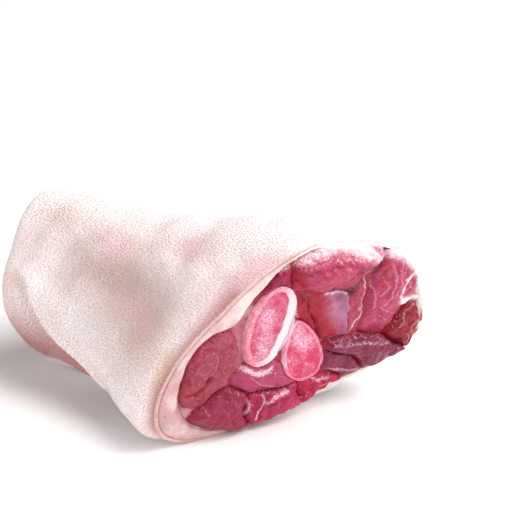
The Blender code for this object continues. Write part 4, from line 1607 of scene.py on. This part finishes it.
@dataclass
class BoneWall(Piece):
    """The hard wall of one bone, a tube from cut to cut, with a band of gristle on one side."""

    bone: Bone
    around: int = 160
    face_steps: int = 20
    side_steps: int = 20
    end_steps: int = 2
    edge: float = 0.25
    line_width: float = 0.55
    line_depth: float = 0.5
    joint_width: float = 3.4
    lumps: tuple[Waves, ...] = (Waves(6.0, 0.14, 21), Waves(2.2, 0.05, 22))

    def model(self) -> bpy.types.Object:
        """Models the bone's wall.

        Returns:
            Its object.
        """
        bone, form, half = self.bone, self.form, self.face_steps // 2
        counts = (half, self.side_steps, self.end_steps, self.side_steps, self.face_steps - half)
        phi, stretch, share = self.ring_stretches(self.around, counts)
        face, outside, end, inside = (stretch == number for number in range(4))
        wall = bone.wall_at(phi)
        out = np.select([face, outside, end, inside], [0.5 + 0.5 * share, 1.0, 1.0 - share, 0.0], 0.5 * share)
        h, w = bone.outline(phi, wall * (1.0 - out))
        from_line = distance_to_path(h, w, GRISTLE_LINE)
        line = np.exp(-((from_line / self.line_width) ** 2))
        proud = bone.rise - self.edge * np.abs(2.0 * out - 1.0) ** 6 - self.line_depth * line
        proud = proud + self.lift(self.lumps, form.at_depth(h, w, 0.0 * h))
        t = np.select([outside, end, inside], [share, 1.0, 1.0 - share], 0.0)
        t = np.maximum(t, np.clip(-proud, 0.0, None) / form.fibre_length(h, w))
        on_cut = face | (stretch == 4)
        points = np.where(on_cut[:, None], form.at_depth(h, w, proud), form.inside(t, h, w))
        wide = eased((wall - bone.wall) / max(bone.band - bone.wall, 0.1) / 0.5)
        band = np.maximum(wide, np.exp(-((from_line / self.joint_width) ** 2)))
        marks = {"band": np.where(on_cut, band, 0.2), "line": np.where(on_cut, line * 0.85, 0.0)}
        return self.placed(points, marks)


@dataclass
class Marrow(Piece):
    """The spongy core of one bone."""

    bone: Bone
    pale_at: Patches
    around: int = 120
    along: int = 80
    cap_share: float = 0.7
    end_share: float = 0.95
    clearance: float = 0.05
    edge: float = 0.2
    sink: float = 0.1
    paleness: float = 0.55
    lumps: tuple[Waves, ...] = (Waves(7.0, 0.2, 31), Waves(1.6, 0.10, 32))

    def model(self) -> bpy.types.Object:
        """Models the marrow.

        Returns:
            Its object.
        """
        bone, form = self.bone, self.form
        phi, ring = self.ball_steps(self.around, self.along)
        edge_h, edge_w = bone.outline(phi, bone.wall_at(phi) + self.clearance)
        share = np.sin(np.clip(ring / self.cap_share, 0.0, 1.0) * QUARTER_TURN)
        closing = np.clip((ring - self.end_share) / (1.0 - self.end_share), 0.0, 1.0)
        keep = share * (1.0 - closing)
        h = bone.centre[0] + (edge_h - bone.centre[0]) * keep
        w = bone.centre[1] + (edge_w - bone.centre[1]) * keep
        proud = bone.rise - self.sink - self.edge * share**14
        proud = proud + self.lift(self.lumps, form.at_depth(h, w, 0.0 * h))
        deepest = np.clip(-proud, 0.0, None) / form.fibre_length(h, w)
        on = np.clip((ring - self.cap_share) / (self.end_share - self.cap_share), 0.0, 1.0)
        t = deepest + (1.0 - deepest) * on
        points = np.where((ring <= self.cap_share)[:, None], form.at_depth(h, w, proud), form.inside(t, h, w))
        return self.placed(points, {"pale": patches_at(h, w, self.pale_at) * self.paleness})


@dataclass(frozen=True)
class Lamp:
    """A soft square light: its way from the hock in degrees and metres, the length of its sides, and its watts."""

    name: str
    azimuth: float
    elevation: float
    away: float
    size: float
    power: float


@dataclass
class Studio:
    """The plain floor, the soft lights and the camera."""

    floor_size: float = 8.0
    floor_colour: str = "F7F6F5"
    sky: float = 0.32
    lamps: tuple[Lamp, ...] = (
        Lamp("key", 130.0, 60.0, 0.9, 0.7, 12.6),
        Lamp("front", 75.0, 42.0, 1.2, 0.5, 2.3),
        Lamp("glint", 80.0, 7.0, 1.2, 0.08, 3.4),
        Lamp("left", -30.0, 6.0, 1.2, 0.9, 8.5),
    )
    lit_point: tuple[float, float, float] = (0.0, 0.0, 50.0)
    target: tuple[float, float, float] = (31.08, 8.37, 84.14)
    distance: float = 1200.0
    azimuth: float = 30.0
    elevation: float = 30.0
    lens: float = 170.0
    sensor: float = 36.0

    def toward(self, azimuth: float, elevation: float) -> np.ndarray:
        """Returns the unit vector from the hock towards an azimuth and elevation, 0 azimuth being -Y."""
        return direction(azimuth - 90.0, elevation)

    def build(self) -> None:
        """Adds the floor, the lights, the surroundings and the camera."""
        self.add_floor()
        for lamp in self.lamps:
            self.add_light(lamp)
        world = bpy.data.worlds.new("studio")
        world.use_nodes = True
        world.node_tree.nodes["Background"].inputs["Color"].default_value = linear("FFFFFF")
        world.node_tree.nodes["Background"].inputs["Strength"].default_value = self.sky
        bpy.context.scene.world = world
        bpy.context.scene.view_settings.view_transform = "Standard"
        self.add_camera()

    def add_floor(self) -> None:
        """Adds the floor, a plain matt white sheet."""
        bpy.ops.object.select_all(action="DESELECT")
        bpy.ops.mesh.primitive_plane_add(size=self.floor_size)
        floor = bpy.context.active_object
        floor.name = "floor"
        material = bpy.data.materials.new("matt white paper")
        material.use_nodes = True
        shader = material.node_tree.nodes["Principled BSDF"]
        shader.inputs["Base Color"].default_value = linear(self.floor_colour)
        shader.inputs["Roughness"].default_value = 0.9
        floor.data.materials.append(material)

    def add_light(self, lamp: Lamp) -> None:
        """Adds a light that faces the hock.

        Args:
            lamp: what it is and where it stands.
        """
        light = bpy.data.lights.new(lamp.name, "AREA")
        light.shape, light.size, light.energy = "SQUARE", lamp.size, lamp.power
        holder = bpy.data.objects.new(lamp.name, light)
        bpy.context.scene.collection.objects.link(holder)
        self.aim(holder, np.array(self.lit_point) * MM, self.toward(lamp.azimuth, lamp.elevation), lamp.away)

    def add_camera(self) -> None:
        """Adds the camera at the viewing angle of the hock's portrait."""
        camera = bpy.data.cameras.new("camera")
        camera.lens, camera.sensor_width = self.lens, self.sensor
        holder = bpy.data.objects.new("camera", camera)
        bpy.context.scene.collection.objects.link(holder)
        toward = self.toward(self.azimuth, self.elevation)
        self.aim(holder, np.array(self.target) * MM, toward, self.distance * MM)
        bpy.context.scene.camera = holder

    @staticmethod
    def aim(thing: bpy.types.Object, target: np.ndarray, toward: np.ndarray, away: float) -> None:
        """Places a light or the camera so that it faces a point, upright.

        Args:
            thing: the object, which looks along its own -Z.
            target: the point it faces, in metres.
            toward: the unit vector from the point to the object.
            away: the distance between them in metres.
        """
        right = unit(np.cross(np.array([0.0, 0.0, 1.0]), toward))
        upward = np.cross(toward, right)
        turned = np.eye(4)
        turned[:3, 0], turned[:3, 1], turned[:3, 2] = right, upward, toward
        turned[:3, 3] = target + toward * away
        thing.matrix_world = Matrix(turned.tolist())


def main() -> None:
    """Builds the hock and its studio."""
    logging.basicConfig(level=logging.INFO, format="%(name)s %(message)s")
    form = HockForm()
    skin = Skin(form, "skin", ("rind_and_fat",), "rind", SkinFinish("pork skin, scalded and shaved"))
    pieces: list[Piece] = [skin]
    pieces.append(Fat(form, "fat", ("rind_and_fat",), "rind", FatFinish("pork fat, raw"), skin=skin))
    between = FatFinish("membranes between the muscles", white="D09AA2", pink="90122A", cream="B8687A", line="960A1C")
    pieces.append(Membranes(form, "membranes", ("rind_and_fat",), "rind", between))
    for muscle in MUSCLES:
        finish = MeatFinish(f"raw lean pork, {muscle.name}", tint=muscle.tint, look=muscle.look)
        pieces.append(MuscleEnd(form, f"{muscle.name}_dressed", (muscle.name,), "meat", finish, muscle=muscle))
    marrows = (
        MarrowFinish("spongy bone and marrow, pale"),
        MarrowFinish("spongy bone and marrow, red", red="C82458", pink="E07CA6", strut="ECC2D0"),
    )
    pale_at = (
        ((-14.5, 16.0, 5.0, 7.0), (-16.5, 0.0, 5.0, 9.0)),
        ((3.0, 1.0, 3.0, 8.0), (7.0, -6.0, 3.5, 4.5)),
    )
    walls = {
        "radius": BoneFinish("sawn bone with gristle, radius"),
        "ulna": BoneFinish("sawn bone, ulna", wall="D9688A", pale="EBA4BA"),
    }
    for bone, core, pale in zip(BONES, marrows, pale_at):
        wall = walls[bone.name]
        pieces.append(BoneWall(form, f"{bone.name}_wall", (f"bone_{bone.name}",), "bone", wall, bone=bone))
        pieces.append(
            Marrow(form, f"{bone.name}_core", (f"marrow_{bone.name}",), "marrow", core, bone=bone, pale_at=pale)
        )
    for piece in pieces:
        piece.build()
    Studio().build()
    log.info("%d pieces, quick %s", len(pieces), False)


if __name__ == "__main__":
    main()
